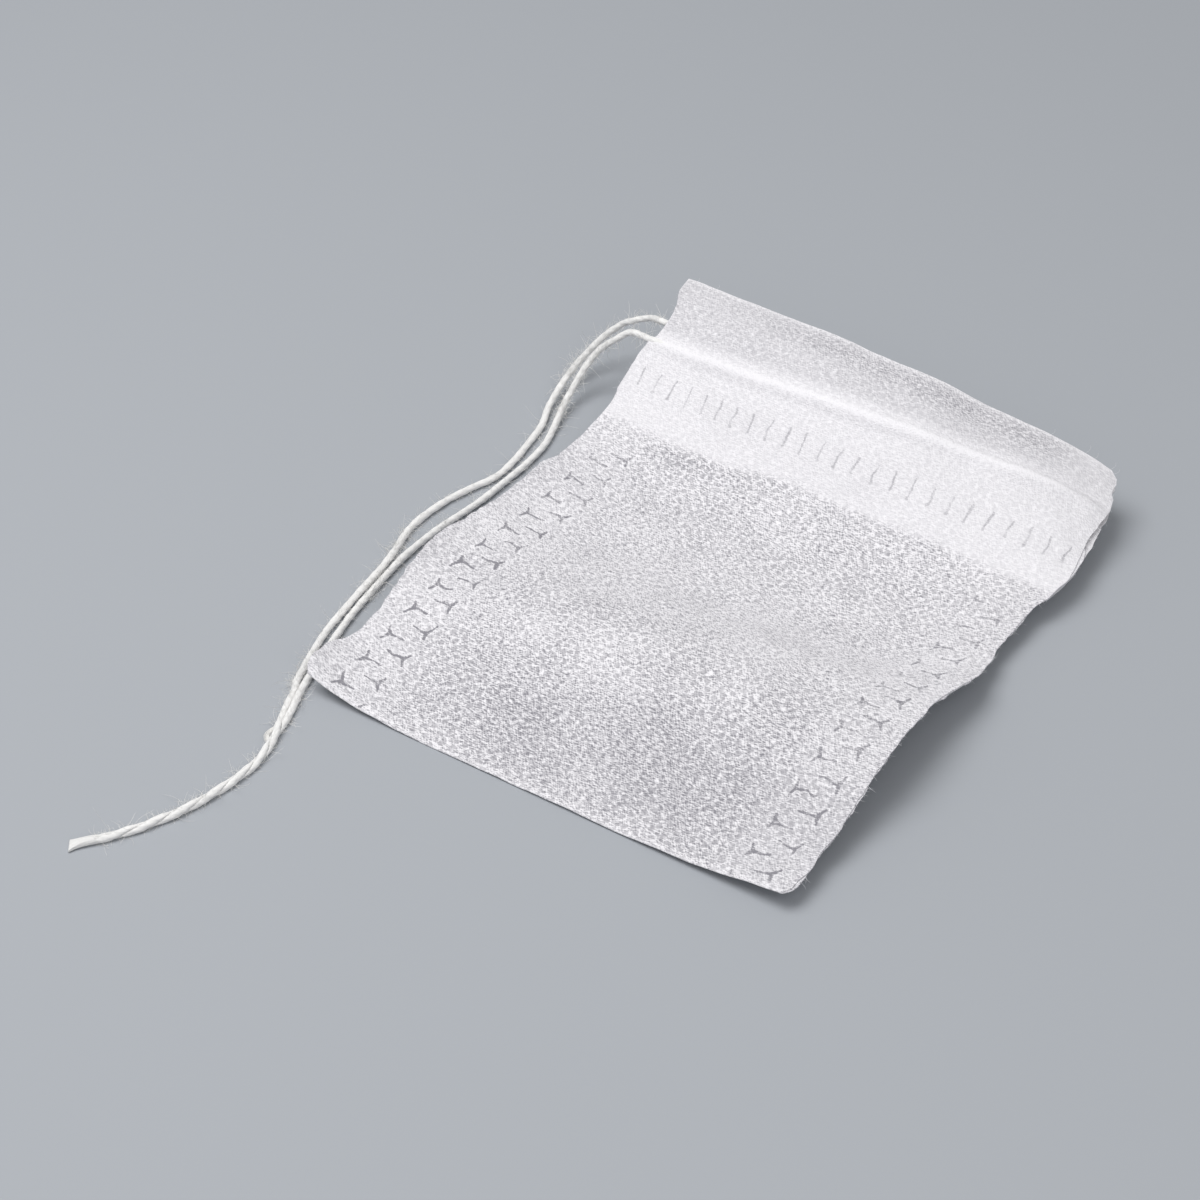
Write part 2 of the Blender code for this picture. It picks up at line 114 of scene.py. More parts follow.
# Waves of the bag on the table, as in the CAD part, with the photograph's at the mouth and rim.
# A curl is how much and how far in, a dip how much, where, and how far to either side.
LEFT_CURL, RIGHT_CURL, CORNER_CURL = (1.8, 20.0), (2.6, 26.0), (1.2, 9.0)
MOUTH_CORNER_CURL, RIM_CURL = (2.0, 11.0), (0.5, 5.0)
RIDGE_HEIGHT = (1.3, 5.6, 4.6)
RIDGE_PLACE = (26.5, 25.4, 29.1)
RIDGE_LOWER_WIDTH, RIDGE_UPPER_WIDTH = 25.0, 24.5
MOUTH_RISE_BELOW = (32.5, 34.4, 36.4)
MOUTH_RISE_RUN = 32.5
MOUTH_HEIGHT, MOUTH_PEAK = 15.5, 0.34
MOUTH_FALL_LEFT, MOUTH_FALL_RIGHT = 48.0, 32.6
NEAR_MOUTH_FROM, NEAR_MOUTH_RUN = 66.0, 22.0
MOUTH_DIP = (-0.7, 27.0, 17.0)
MOUTH_RIGHT_LIFT, MOUTH_RIGHT_FROM, MOUTH_RIGHT_RUN = 1.1, 47.0, 13.0

# Steps of the cloth's mesh
COLUMNS = 78
ROW_STEP = 0.9
STRING_ROW_STEP = 0.3
FLAP_ROW_STEP = 1.3
FINE = 4
MARK_REACH = 0.66
FLAT_SCALE = 250.0
TABLE_STEP = 0.25
TABLE_PAD = 4.0

# The camera stands where the photograph's does
CAMERA_PLACE = (0.15245, -0.25858, 0.24563)
CAMERA_TARGET = (-0.01438, -0.00937, 0.0)
CAMERA_LENS = 90.0
CAMERA_SENSOR = 36.0

# The floor keeps the lamps' light up to the near distance and is the backdrop's colour beyond
# the far one, in metres
FLOOR_COLOUR = (0.40, 0.42, 0.45, 1.0)
FLOOR_NEAR, FLOOR_FAR = 0.13, 0.45
FLOOR_REACH = 8.0
WORLD_LIGHT = 0.34

# Looks of the cloth and of the string
BOND_PITCH = 1.45
CLOTH_GLOW = 0.08
DARK_CLOTH = (0.29, 0.283, 0.315, 1.0)
LIGHT_CLOTH = (0.97, 0.955, 0.985, 1.0)
MARK_WANDER = 0.9
SEAM_PRESS, HEM_PRESS, PRESS_WIDTH, PRESS_REACH = 0.9, 0.85, 0.33, 3.5
MARK_CORE, MARK_RIM = 0.23, (0.30, 0.85)
DASH_CORE, DASH_FOOT = 0.21, 0.36
DARK_COTTON = (0.87, 0.863, 0.855)
LIGHT_COTTON = (0.955, 0.953, 0.95)
WARM_COTTON = (0.985, 0.978, 0.965)
# The tip's cotton is darkened by this share: painted shade that keeps its up-facing top, lit most by
# the lamps, from rendering too white
TIP_PAINTED_SHADE = 0.88
STRING_FIBRES = (0.95, 0.94, 0.92)
CLOTH_FIBRES = (0.84, 0.84, 0.87)

# The web's fibres: direction in degrees, length, width, strength and a shift of the pattern
FIBRE_LAYERS = (
    (4, 0.9, 0.17, 1.0, (3, 8)),
    (-31, 0.8, 0.17, 0.8, (17, 2)),
    (52, 0.8, 0.18, 0.8, (29, 31)),
)

# Lighter and darker bands of the cloth's colour: how much, at what height, how far to either
# side, and from where on it sets in across the bag and over what run. The first band is painted
# light on a slope that the lamps leave in shade; the others darken the body in bands.
LIGHTER_AND_DARKER_BANDS = (
    (0.05, 38, 8, 18, 18), (-0.05, 57, 13, -9, 1), (-0.08, 26, 8, -9, 1), (-0.07, 17, 12, 34, 16),
)

# The string's way outside the bag, as in the CAD part: how far left of the bag's left edge and
# how far up from the bottom fold. Its first points stand at the given heights, the rest lie.
BACK_STRAND = (
    (1.8, 81.2), (4.3, 80.5), (6.3, 80.3), (8.6, 78.5), (9.7, 73.1), (8.8, 66.3), (7.2, 62.0),
    (6.3, 57.5), (5.6, 52.6), (5.6, 48.5), (6.9, 44.6), (8.0, 40.6), (8.5, 36.5), (8.4, 32.5),
    (7.3, 28.1), (6.5, 23.9), (6.0, 19.4), (5.3, 14.3), (4.4, 9.0), (3.2, 3.5), (1.6, -0.6),
    (0.2, -3.9), (-1.3, -7.8), (-2.4, -11.3), (-2.9, -14.4), (-2.8, -17.1), (-2.4, -19.9),
    (-1.8, -22.7), (-1.0, -25.4), (0.2, -28.2), (1.6, -31.0), (3.4, -33.8), (5.0, -35.7),
)
BACK_HEIGHTS = (9.6, 8.6, 7.2, 4.8, 2.4, 0.9)
FRONT_STRAND = (
    (1.9, 76.3), (3.8, 75.6), (6.0, 74.5), (7.1, 71.9), (6.7, 66.8), (5.4, 62.4), (4.2, 58.1),
    (3.8, 53.1), (3.9, 48.7), (4.1, 43.6), (4.6, 39.6), (5.2, 35.4), (5.5, 31.4), (5.5, 27.4),
    (5.1, 23.2), (4.6, 18.8), (3.9, 14.2), (3.0, 10.0), (2.0, 5.9), (0.8, 1.6), (-0.4, -1.4),
    (-1.4, -4.5), (-2.7, -8.3), (-3.7, -11.7), (-4.2, -14.5), (-4.1, -17.3), (-3.7, -20.2),
    (-3.1, -23.1), (-2.3, -25.9), (-1.1, -28.8), (0.4, -31.8), (2.3, -34.6), (4.0, -36.6),
)
FRONT_HEIGHTS = (9.9, 8.5, 6.4, 3.8, 1.5, 0.7)
LYING_HEIGHT = 0.55
INSIDE_START = 3.0
TAIL_START = 19
TAIL_TWIST_START, TAIL_TWIST_LENGTH = 10.0, 8.4
TAIL_LEVEL_END, TAIL_LEVEL_RUN = 0.6, 5.0
TAIL_SIDE_GAP, TAIL_HALF_GAP = 0.40, 0.12
TAIL_SHARE = 0.94
STRAND_STEP = 0.2
STRAND_SIDES = 24
PLY_OFFSET, PLY_RADIUS = 0.09, 0.42
PLY_TWIST_LENGTH = 5.2
TURN_START = 3.5

# The string's tip: how far past the strands' end, half its width and half its height
TIP_SECTIONS = (
    (-2.6, 0.28, 0.30), (-1.8, 0.44, 0.40), (-1.0, 0.55, 0.46), (-0.3, 0.60, 0.485),
    (0.6, 0.62, 0.455), (1.2, 0.67, 0.41), (1.7, 0.76, 0.36), (2.1, 0.89, 0.30),
    (2.35, 0.98, 0.25), (2.42, 0.88, 0.12),
)
TIP_SIDES = 40

# Stray fibres: how many a millimetre, how many steps they keep off the strand's two ends, how
# deep in it they start, where they stand in a clump, how thick and how long they are
FIBRES_PER_MM = 13
FIRST_FIBRE, LAST_FIBRE, FIBRE_ROOT = 16, 6, 0.36
CLUMP, CLUMP_AT, CLUMP_REACH = 3.6, 22.5, 4.0
STRING_FIBRE_RADIUS, EDGE_FIBRE_RADIUS, WISP_FIBRE_RADIUS = 0.024, 0.018, 0.06
LONGEST_STRING_FIBRE, LONGEST_EDGE_FIBRE = 4.2, 1.8
EDGE_FIBRES = 520
RIM_LOOPS = ((57, 1.8), (62, 2.2), (63.5, 1.6), (66, 2.0), (67, 1.4), (4, 1.5), (0.8, 1.3))
WISP_PLACE, WISP_REACH, WISP_FIBRES = 0.79, 12, 26


def smooth(value):
    """Eases from 0 to 1 as the value goes from 0 to 1."""
    v = np.clip(value, 0, 1)
    return v * v * (3 - 2 * v)


def hump(value):
    """1 at 0, falling smoothly to 0 at -1 and +1."""
    v = np.clip(np.abs(value), 0, 1)
    return np.cos(math.pi * v / 2) ** 2


def local(change, place):
    """A local change: how much, where, and how far it reaches to either side."""
    amount, middle, reach = change
    return amount * hump((place - middle) / reach)


def curl(change, distance):
    """A lift that is steepest at an edge and runs out within its reach."""
    amount, reach = change
    return amount * np.clip(1 - distance / reach, 0, None) ** 2


def through(triple, u):
    """The parabola through a left, a middle and a right value, for u from 0 to 1."""
    left, middle, right = triple
    return left + (4 * middle - 3 * left - right) * u + 2 * (left + right - 2 * middle) * u**2


def ripples(seed, x, y, shortest, longest, count=14):
    """Smooth random waves of about unit size, with wavelengths between the two given."""
    r = np.random.default_rng(seed)
    total = np.zeros(np.broadcast(x, y).shape)
    for _ in range(count):
        wave = 2 * math.pi / r.uniform(shortest, longest)
        angle, phase = r.uniform(0, 2 * math.pi, 2)
        total += np.sin(wave * (x * math.cos(angle) + y * math.sin(angle)) + phase)
    return total / math.sqrt(count / 2)


def profile(at, values, t):
    """The values given at some heights, read at others with their corners rounded."""
    total = sum(np.interp(t + step, at, values) for step in EDGE_ROUNDING)
    return total / len(EDGE_ROUNDING)


def string_height(s, side):
    """How far up the bag the string runs in a hem: the front one climbs to the right."""
    start, linear, square = STRING_DRIFT
    u = s / 60
    return np.where(side > 0, FRONT_STRING + start + linear * u + square * u**2, BACK_STRING)


def table_height(s, t):
    """Height of the bag's middle layer above the table."""
    u = s / WIDTH
    z = BASE_LEVEL + curl(LEFT_CURL, s) + curl(RIGHT_CURL, WIDTH - s)
    z += curl(CORNER_CURL, np.hypot(s, t))
    above = t - through(RIDGE_PLACE, u)
    reach = np.where(above < 0, RIDGE_LOWER_WIDTH, RIDGE_UPPER_WIDTH)
    z += through(RIDGE_HEIGHT, u) * hump(above / reach)
    fall = np.where(u < MOUTH_PEAK, MOUTH_FALL_LEFT, MOUTH_FALL_RIGHT)
    mouth = MOUTH_HEIGHT - fall * (u - MOUTH_PEAK) ** 2
    start = HEIGHT - through(MOUTH_RISE_BELOW, u)
    z += mouth * smooth((t - start) / MOUTH_RISE_RUN)
    lift = curl(MOUTH_CORNER_CURL, s) + local(MOUTH_DIP, s)
    lift += MOUTH_RIGHT_LIFT * smooth((s - MOUTH_RIGHT_FROM) / MOUTH_RIGHT_RUN)
    z += lift * smooth((t - NEAR_MOUTH_FROM) / NEAR_MOUTH_RUN)
    z += profile(LEFT_EDGE_AT, LEFT_EDGE_OUT, t).clip(0) * curl(RIM_CURL, s)
    return z + 0.09 * ripples(3, s, t, 8, 19) + 0.03 * ripples(4, s, t, 3.6, 6)


class Drape:
    """Lays flat points over the waves, keeping the cloth's length along both directions."""

    def __init__(self):
        self.s = np.arange(-TABLE_PAD, WIDTH + TABLE_PAD, TABLE_STEP)
        self.t = np.arange(-TABLE_PAD, HEIGHT + TABLE_PAD, TABLE_STEP)
        s, t = np.meshgrid(self.s, self.t, indexing="ij")
        z = table_height(s, t)
        x = self.walked(np.gradient(z, TABLE_STEP, axis=0), 0, WIDTH / 2)
        y = self.walked(np.gradient(z, TABLE_STEP, axis=1), 1, 0.0)
        self.middle = np.stack([x, y, z], -1)
        across = np.gradient(self.middle, TABLE_STEP, axis=0)
        along = np.gradient(self.middle, TABLE_STEP, axis=1)
        normal = np.cross(across, along)
        self.normal = normal / np.linalg.norm(normal, axis=2, keepdims=True)

    def walked(self, slope, axis, zero):
        """Ground covered along one direction by cloth of this slope, from its zero line."""
        ground = np.moveaxis(np.sqrt(1 - np.clip(slope, -0.95, 0.95) ** 2), axis, 0)
        steps = (ground[1:] + ground[:-1]) / 2 * TABLE_STEP
        total = np.concatenate([np.zeros_like(ground[:1]), np.cumsum(steps, axis=0)])
        total -= total[round((zero + TABLE_PAD) / TABLE_STEP)]
        return np.moveaxis(total, 0, axis)

    def read(self, field, s, t):
        """A field's values between its table points."""
        i = np.clip((s + TABLE_PAD) / TABLE_STEP, 0, len(self.s) - 1.001)
        j = np.clip((t + TABLE_PAD) / TABLE_STEP, 0, len(self.t) - 1.001)
        i0, j0 = i.astype(int), j.astype(int)
        a, b = (i - i0)[:, None], (j - j0)[:, None]
        low = field[i0, j0] * (1 - b) + field[i0, j0 + 1] * b
        high = field[i0 + 1, j0] * (1 - b) + field[i0 + 1, j0 + 1] * b
        return low * (1 - a) + high * a

    def place(self, s, t, n):
        """Places of flat points in the CAD part's frame."""
        s, t, n = np.broadcast_arrays(*(np.atleast_1d(np.asarray(v, float)) for v in (s, t, n)))
        place = self.read(self.middle, s, t) + n[:, None] * self.read(self.normal, s, t)
        place[:, 0] += HEM_SIDESTEP * smooth((t - HEM_SIDESTEP_FROM) / HEM_SIDESTEP_RUN)
        return place + TABLE_SHIFT


class Nodes:
    """Short ways to build the node tree of a material or a world."""

    def __init__(self, owner):
        owner.use_nodes = True
        self.owner = owner
        self.tree = owner.node_tree
        self.shader = self.tree.nodes.get("Principled BSDF")

    def fill(self, node, inputs):
        """Sets some inputs of a node from sockets or plain values."""
        for name, value in inputs.items():
            if isinstance(value, bpy.types.NodeSocket):
                self.tree.links.new(value, node.inputs[name])
            else:
                node.inputs[name].default_value = value
        return node

    def add(self, kind, inputs=None, **settings):
        """A new node with some of its settings and inputs."""
        node = self.tree.nodes.new(kind)
        for name, value in settings.items():
            setattr(node, name, value)
        return self.fill(node, inputs or {})

    def show(self, share, first, second):
        """Shows a mix of two shaders."""
        mix = self.add("ShaderNodeMixShader", {0: share, 1: first.outputs[0], 2: second.outputs[0]})
        last = self.tree.nodes.get("Material Output") or self.tree.nodes.get("World Output")
        self.fill(last, {"Surface": mix.outputs[0]})

    def math(self, kind, *values, clamp=False):
        """A number worked out from sockets or plain numbers."""
        inputs = dict(enumerate(values))
        return self.add("ShaderNodeMath", inputs, operation=kind, use_clamp=clamp).outputs[0]

    def product(self, first, *others):
        """Several numbers multiplied."""
        for value in others:
            first = self.math("MULTIPLY", first, value)
        return first

    def summed(self, total, *parts):
        """A number with weighted others added to it."""
        for value, weight in parts:
            total = self.math("ADD", total, self.math("MULTIPLY", value, weight))
        return total

    def vector(self, kind, a, b=None, scale=None, out="Vector"):
        """A vector worked out from sockets or plain tuples."""
        inputs = {0: a}
        if b is not None:
            inputs[1] = b
        if scale is not None:
            inputs["Scale"] = scale
        return self.add("ShaderNodeVectorMath", inputs, operation=kind).outputs[out]

    def noise(self, place, scale, detail=0.0, roughness=0.5, out="Fac"):
        """Plain noise, from 0 to 1."""
        inputs = {"Vector": place, "Scale": scale, "Detail": detail, "Roughness": roughness}
        return self.add("ShaderNodeTexNoise", inputs, noise_dimensions="2D").outputs[out]

    def ramped(self, value, low, high, start=0.0, end=1.0):
        """Eases from start to end as the value goes from low to high."""
        inputs = {"Value": value, "From Min": low, "From Max": high, "To Min": start, "To Max": end}
        return self.add("ShaderNodeMapRange", inputs, interpolation_type="SMOOTHSTEP").outputs[0]

    def coloured(self, value, *stops):
        """Colours along a value, through stops of a position and a colour."""
        node = self.add("ShaderNodeValToRGB", {"Fac": value})
        for element, (position, colour) in zip(node.color_ramp.elements, stops):
            element.position, element.color = position, (*colour, 1)
        return node.outputs["Color"]

    def mixed(self, share, first, second, kind="MIX"):
        """A mix of two colours."""
        inputs = {"Factor": share, "A": first, "B": second}
        return self.add("ShaderNodeMix", inputs, data_type="RGBA", blend_type=kind).outputs[2]

    def turned(self, place, angle, scale=(1.0, 1.0), shift=(0.0, 0.0)):
        """A place turned round the flat sheet, then scaled along both directions."""
        inputs = {"Vector": place, "Rotation": (0, 0, math.radians(angle)), "Location": (*shift, 0)}
        mapped = self.add("ShaderNodeMapping", inputs).outputs["Vector"]
        return self.vector("MULTIPLY", mapped, (*scale, 1))

    def pair(self, x, y):
        """A flat vector from two numbers."""
        return self.add("ShaderNodeCombineXYZ", {"X": x, "Y": y}).outputs["Vector"]

    def parts(self, place):
        """The numbers of a vector."""
        return self.add("ShaderNodeSeparateXYZ", {0: place}).outputs

    def carried(self, name):
        """A value that the mesh carries at its points."""
        return self.add("ShaderNodeAttribute", attribute_name=name).outputs["Fac"]

    def bumpy(self, height, strength, depth):
        """The surface's direction with a relief on it; the depth is in millimetres."""
        inputs = {"Height": height, "Strength": strength, "Distance": depth * MM}
        return self.add("ShaderNodeBump", inputs).outputs["Normal"]

    def line_distance(self, place, start, end):
        """Distance from the place to a line piece between two flat points."""
        along = (end[0] - start[0], end[1] - start[1], 0)
        squared = along[0] ** 2 + along[1] ** 2
        off = self.vector("SUBTRACT", place, (*start, 0))
        reached = self.vector("DOT_PRODUCT", off, along, out="Value")
        share = self.math("MULTIPLY", reached, 1 / squared, clamp=True)
        nearest = self.vector("SCALE", along, scale=share)
        return self.vector("LENGTH", self.vector("SUBTRACT", off, nearest), out="Value")

    def seen_directly(self):
        """One for the rays that show the background itself, zero for those that only light."""
        rays = self.add("ShaderNodeLightPath").outputs
        mirrored = self.math("MAXIMUM", rays["Is Glossy Ray"], rays["Is Transmission Ray"])
        return self.math("MAXIMUM", rays["Is Camera Ray"], mirrored)


def mesh_object(name, points, faces, material):
    """A smooth mesh piece from points in millimetres."""
    mesh = bpy.data.meshes.new(name)
    mesh.from_pydata((np.asarray(points) * MM).tolist(), [], faces)
    mesh.materials.append(material)
    mesh.shade_smooth()
    item = bpy.data.objects.new(name, mesh)
    bpy.context.scene.collection.objects.link(item)
    return item


def set_flat_places(mesh, name, flat):
    """Gives each face corner its place on the flat material."""
    layer = mesh.uv_layers.new(name=name)
    layer.data.foreach_set("uv", np.asarray(flat, np.float32).ravel())


# Camera, floor and light


def set_camera():
    """The photograph's view."""
    data = bpy.data.cameras.new("camera")
    data.lens, data.sensor_width = CAMERA_LENS, CAMERA_SENSOR
    data.clip_start, data.clip_end = 0.01, 50
    camera = bpy.data.objects.new("camera", data)
    camera.location = CAMERA_PLACE
    ahead = Vector(CAMERA_TARGET) - Vector(CAMERA_PLACE)
    camera.rotation_euler = ahead.to_track_quat("-Z", "Y").to_euler()
    bpy.context.scene.collection.objects.link(camera)
    bpy.context.scene.camera = camera


def floor_material():
    """A plain pale matte surface that runs into the backdrop's colour far from the bag."""
    n = Nodes(bpy.data.materials.new("floor"))
    matte = {"Base Color": FLOOR_COLOUR, "Roughness": 0.9, "Specular IOR Level": 0.1}
    n.fill(n.shader, matte)
    place = n.add("ShaderNodeTexCoord").outputs["Object"]
    far = n.ramped(n.vector("LENGTH", place, out="Value"), FLOOR_NEAR, FLOOR_FAR)
    plain = n.add("ShaderNodeEmission", {"Color": FLOOR_COLOUR, "Strength": 1.0})
    n.show(n.math("MULTIPLY", far, n.seen_directly()), n.shader, plain)
    return n.owner


def set_stage():
    """Floor, world and lamps."""
    far = FLOOR_REACH
    corners = [(-far, -far, 0), (far, -far, 0), (far, far, 0), (-far, far, 0)]
    mesh = bpy.data.meshes.new("floor")
    mesh.from_pydata(corners, [], [(0, 1, 2, 3)])
    mesh.materials.append(floor_material())
    floor = bpy.data.objects.new("floor", mesh)
    bpy.context.scene.collection.objects.link(floor)

    world = bpy.data.worlds.new("world")
    bpy.context.scene.world = world
    n = Nodes(world)
    light = n.fill(n.tree.nodes["Background"], {"Color": (1, 1, 1, 1), "Strength": WORLD_LIGHT})
    seen = n.add("ShaderNodeBackground", {"Color": FLOOR_COLOUR, "Strength": 1.0})
    n.show(n.seen_directly(), light, seen)

    lamp("key_light", (-0.20, -0.14, 0.62), 0.45, 3.25)
    lamp("fill_light", (0.40, -0.35, 0.50), 0.60, 1.25)


def lamp(name, place, size, power):
    """A soft square lamp that points at the bag."""
    data = bpy.data.lights.new(name, "AREA")
    data.shape, data.size, data.energy = "SQUARE", size, power
    item = bpy.data.objects.new(name, data)
    item.location = place
    item.rotation_euler = (-Vector(place)).to_track_quat("-Z", "Y").to_euler()
    bpy.context.scene.collection.objects.link(item)


# String


def smoothed(points, step):
    """Points at even steps on a smooth curve through the given points."""
    p = np.asarray(points, float)
    p = np.concatenate([[2 * p[0] - p[1]], p, [2 * p[-1] - p[-2]]])
    v = np.linspace(0, 1, 24, endpoint=False)[:, None]
    fine = []
    for a, b, c, d in zip(p, p[1:], p[2:], p[3:]):
        bend = (2 * a - 5 * b + 4 * c - d) * v**2 + (3 * b - a - 3 * c + d) * v**3
        fine.append((2 * b + (c - a) * v + bend) / 2)
    fine = np.concatenate(fine + [p[-2:-1]])
    return even(fine, step)


def lengths_along(points):
    """How far along its line each point is."""
    return np.concatenate([[0], np.cumsum(np.linalg.norm(np.diff(points, axis=0), axis=1))])


def even(points, step):
    """The line again with its points at even steps."""
    along = lengths_along(points)
    wanted = np.linspace(0, along[-1], math.ceil(along[-1] / step) + 1)
    return np.stack([np.interp(wanted, along, points[:, k]) for k in range(3)], -1)


def route(strand, heights):
    """A strand's given points in the CAD part's frame."""
    left = -WIDTH / 2 + TABLE_SHIFT[0]
    heights = [*heights, *[LYING_HEIGHT] * (len(strand) - len(heights))]
    return np.array([(left - out, up + TABLE_SHIFT[1], z) for (out, up), z in zip(strand, heights)])


def free_strands(drape):
    """Centre lines of both free strands, from inside their tunnels to the tip."""
    back, front = route(BACK_STRAND, BACK_HEIGHTS), route(FRONT_STRAND, FRONT_HEIGHTS)
    pair = smoothed((back[TAIL_START:] + front[TAIL_START:]) / 2, STRAND_STEP)
    along = lengths_along(pair)
    heading = np.gradient(pair, axis=0)
    heading /= np.linalg.norm(heading, axis=1, keepdims=True)
    beside = np.stack([heading[:, 1], -heading[:, 0], np.zeros(len(pair))], -1)
    apart = back[TAIL_START] - front[TAIL_START]
    beside *= np.sign(beside[0] @ apart)
    gaps = (abs(beside[0] @ apart) / 2, TAIL_SIDE_GAP, TAIL_SIDE_GAP, TAIL_HALF_GAP)
    gap = np.interp(along, (0, 4, 8.5, 12), gaps)
    turn = 2 * math.pi * np.clip(along - TAIL_TWIST_START, 0, None) / TAIL_TWIST_LENGTH
    still = smooth((along[-1] - along - TAIL_LEVEL_END) / TAIL_LEVEL_RUN)
    radius = STRING_DIAMETER / 2 * TAIL_SHARE
    lines = []
    for points, side in ((back, 1), (front, -1)):
        inside_s = np.array([INSIDE_START, INSIDE_START / 2, 0.2])
        inside_t = string_height(inside_s, -side)
        inside = drape.place(inside_s, inside_t, -side * STRING_LEVEL)
        tail = pair + side * (gap * np.cos(turn))[:, None] * beside
        above = np.abs(np.sin(turn)) + side * np.sin(turn)
        tail[:, 2] = radius + gap * above * still
        points = np.concatenate([inside, points[:TAIL_START], tail[8::6]])
        points[:, 2] = np.maximum(points[:, 2], radius - 0.03)
        lines.append(smoothed(points, STRAND_STEP))
    return lines


def hem_line(drape):
    """Centre line of the string inside both hems, round the turn at the right."""
    turn_s = WIDTH - TURN_START
    inside = np.arange(INSIDE_START - 1.5, turn_s, 2.0)
    front_t = string_height(turn_s, 1)
    middle_t, half_t = (front_t + BACK_STRING) / 2, (BACK_STRING - front_t) / 2
    angle = np.linspace(0, math.pi, 9)
    turn = drape.place(
        turn_s + math.hypot(half_t, STRING_LEVEL) * np.sin(angle),
        middle_t + half_t * np.cos(angle),
        -STRING_LEVEL * np.cos(angle),
    )
    back = drape.place(inside, BACK_STRING, -STRING_LEVEL)
    front = drape.place(inside[::-1], string_height(inside[::-1], 1), STRING_LEVEL)
    return smoothed(np.concatenate([back, turn, front]), STRAND_STEP)


def frames_along(line):
    """Two directions across the line at each point, turning as little as they can."""
    ahead = np.gradient(line, axis=0)
    ahead /= np.linalg.norm(ahead, axis=1, keepdims=True)
    across = np.zeros_like(line)
    across[0] = np.cross(ahead[0], (0, 0, 1))
    for k in range(len(line)):
        side = across[max(k - 1, 0)]
        side = side - (side @ ahead[k]) * ahead[k]
        across[k] = side / np.linalg.norm(side)
    return across, np.cross(ahead, across)


def towards(line, other):
    """Half the distance from each point to the other line, and the direction to it."""
    apart = other[None, :, :] - line[:, None, :]
    nearest = apart[np.arange(len(line)), np.argmin((apart**2).sum(2), axis=1)]
    distance = np.linalg.norm(nearest, axis=1, keepdims=True)
    return distance / 2, nearest / distance


def tube_faces(rings, count):
    """Side faces of a tube, and each face corner's place round and along it."""
    faces, corners = [], []
    for k in range(rings - 1):
        for j in range(count):
            a, b = k * count + j, k * count + (j + 1) % count
            faces.append((a, b, b + count, a + count))
            corners += [(j, k), (j + 1, k), (j + 1, k + 1), (j, k + 1)]
    return faces, corners


def yarn(name, line, material, phase, share=1.0, partner=None):
    """A three-ply yarn along a line: one closed tube whose lobes turn round it.

    Where it touches its partner line the two are pressed flat against each other.
    """
    across, up = frames_along(line)
    along = lengths_along(line)
    count = STRAND_SIDES
    angle = 2 * math.pi * np.arange(count) / count
    lobe = 2 * math.pi / 3
    off = (angle + lobe / 2) % lobe - lobe / 2
    reach = PLY_OFFSET * np.cos(off) + np.sqrt(PLY_RADIUS**2 - (PLY_OFFSET * np.sin(off)) ** 2)
    twist = phase + 2 * math.pi * along / PLY_TWIST_LENGTH
    scale = share * (1 + 0.035 * ripples(11, along, 40 * phase, 2.5, 9))
    turned = (angle[None, :] + twist[:, None])[:, :, None]
    wide = (reach[None, :] * scale[:, None])[:, :, None]
    out = wide * (np.cos(turned) * across[:, None] + np.sin(turned) * up[:, None])
    if partner is not None:
        half, direction = towards(line, partner)
        reached = (out * direction[:, None, :]).sum(2)
        shrink = np.clip((half - 0.004) / np.maximum(reached, 1e-6), 0.2, 1)
        out = out * np.where(reached > 0, shrink, 1)[:, :, None]
    rings = line[:, None] + out
    rings[:, :, 2] = np.maximum(rings[:, :, 2], 0.01)
    points = np.concatenate([rings.reshape(-1, 3), line[:1], line[-1:]])
    last = len(line) - 1
    faces, corners = tube_faces(len(line), count)
    for j in range(count):
        following = (j + 1) % count
        faces.append((len(points) - 2, following, j))
        faces.append((len(points) - 1, last * count + j, last * count + following))
        corners += [(j, 0), (j + 1, 0), (j, 0), (j, last), (j, last), (j + 1, last)]
    item = mesh_object(name, points, faces, material)
    flat = np.array(corners)
    set_flat_places(item.data, "Yarn", np.stack([flat[:, 0] / count, along[flat[:, 1]] / 100], -1))
    return item


def string_tip(line_a, line_b, material):
    """The flat pressed end in which both strands are sealed, a little wider than the cord."""
    end = (line_a[-1] + line_b[-1]) / 2
    ahead = (line_a[-1] - line_a[-12] + line_b[-1] - line_b[-12]) / 2
    ahead[2] = 0
    ahead /= np.linalg.norm(ahead)
    beside = np.array([-ahead[1], ahead[0], 0])
    up = np.array([0, 0, 1.0])
    count = TIP_SIDES
    angle = 2 * math.pi * np.arange(count) / count
    rings = []
    for along, half_width, half_height in TIP_SECTIONS:
        middle = end + ahead * along
        middle[2] = half_height + 0.012
        ridges = 1 + 0.05 * np.cos(7 * angle + 1.3 * along)
        side = half_width * np.cos(angle) * ridges
        rise = half_height * np.sign(np.sin(angle)) * np.abs(np.sin(angle)) ** 0.75 * ridges
        bevel = 0.22 * smooth(along) * np.cos(angle)
        rings.append(middle + side[:, None] * beside + bevel[:, None] * ahead + rise[:, None] * up)
    points = np.concatenate(rings)
    points[:, 2] = np.maximum(points[:, 2], 0.01)
    faces, corners = tube_faces(len(TIP_SECTIONS), count)
    faces += [tuple(range(count))[::-1], tuple(range(len(points) - count, len(points)))]
    corners += [(0, 0)] * (2 * count)
    item = mesh_object("string_tip", points, faces, material)
    set_flat_places(item.data, "Yarn", np.array(corners) * (1 / count, 0.6 / 100))
    return item


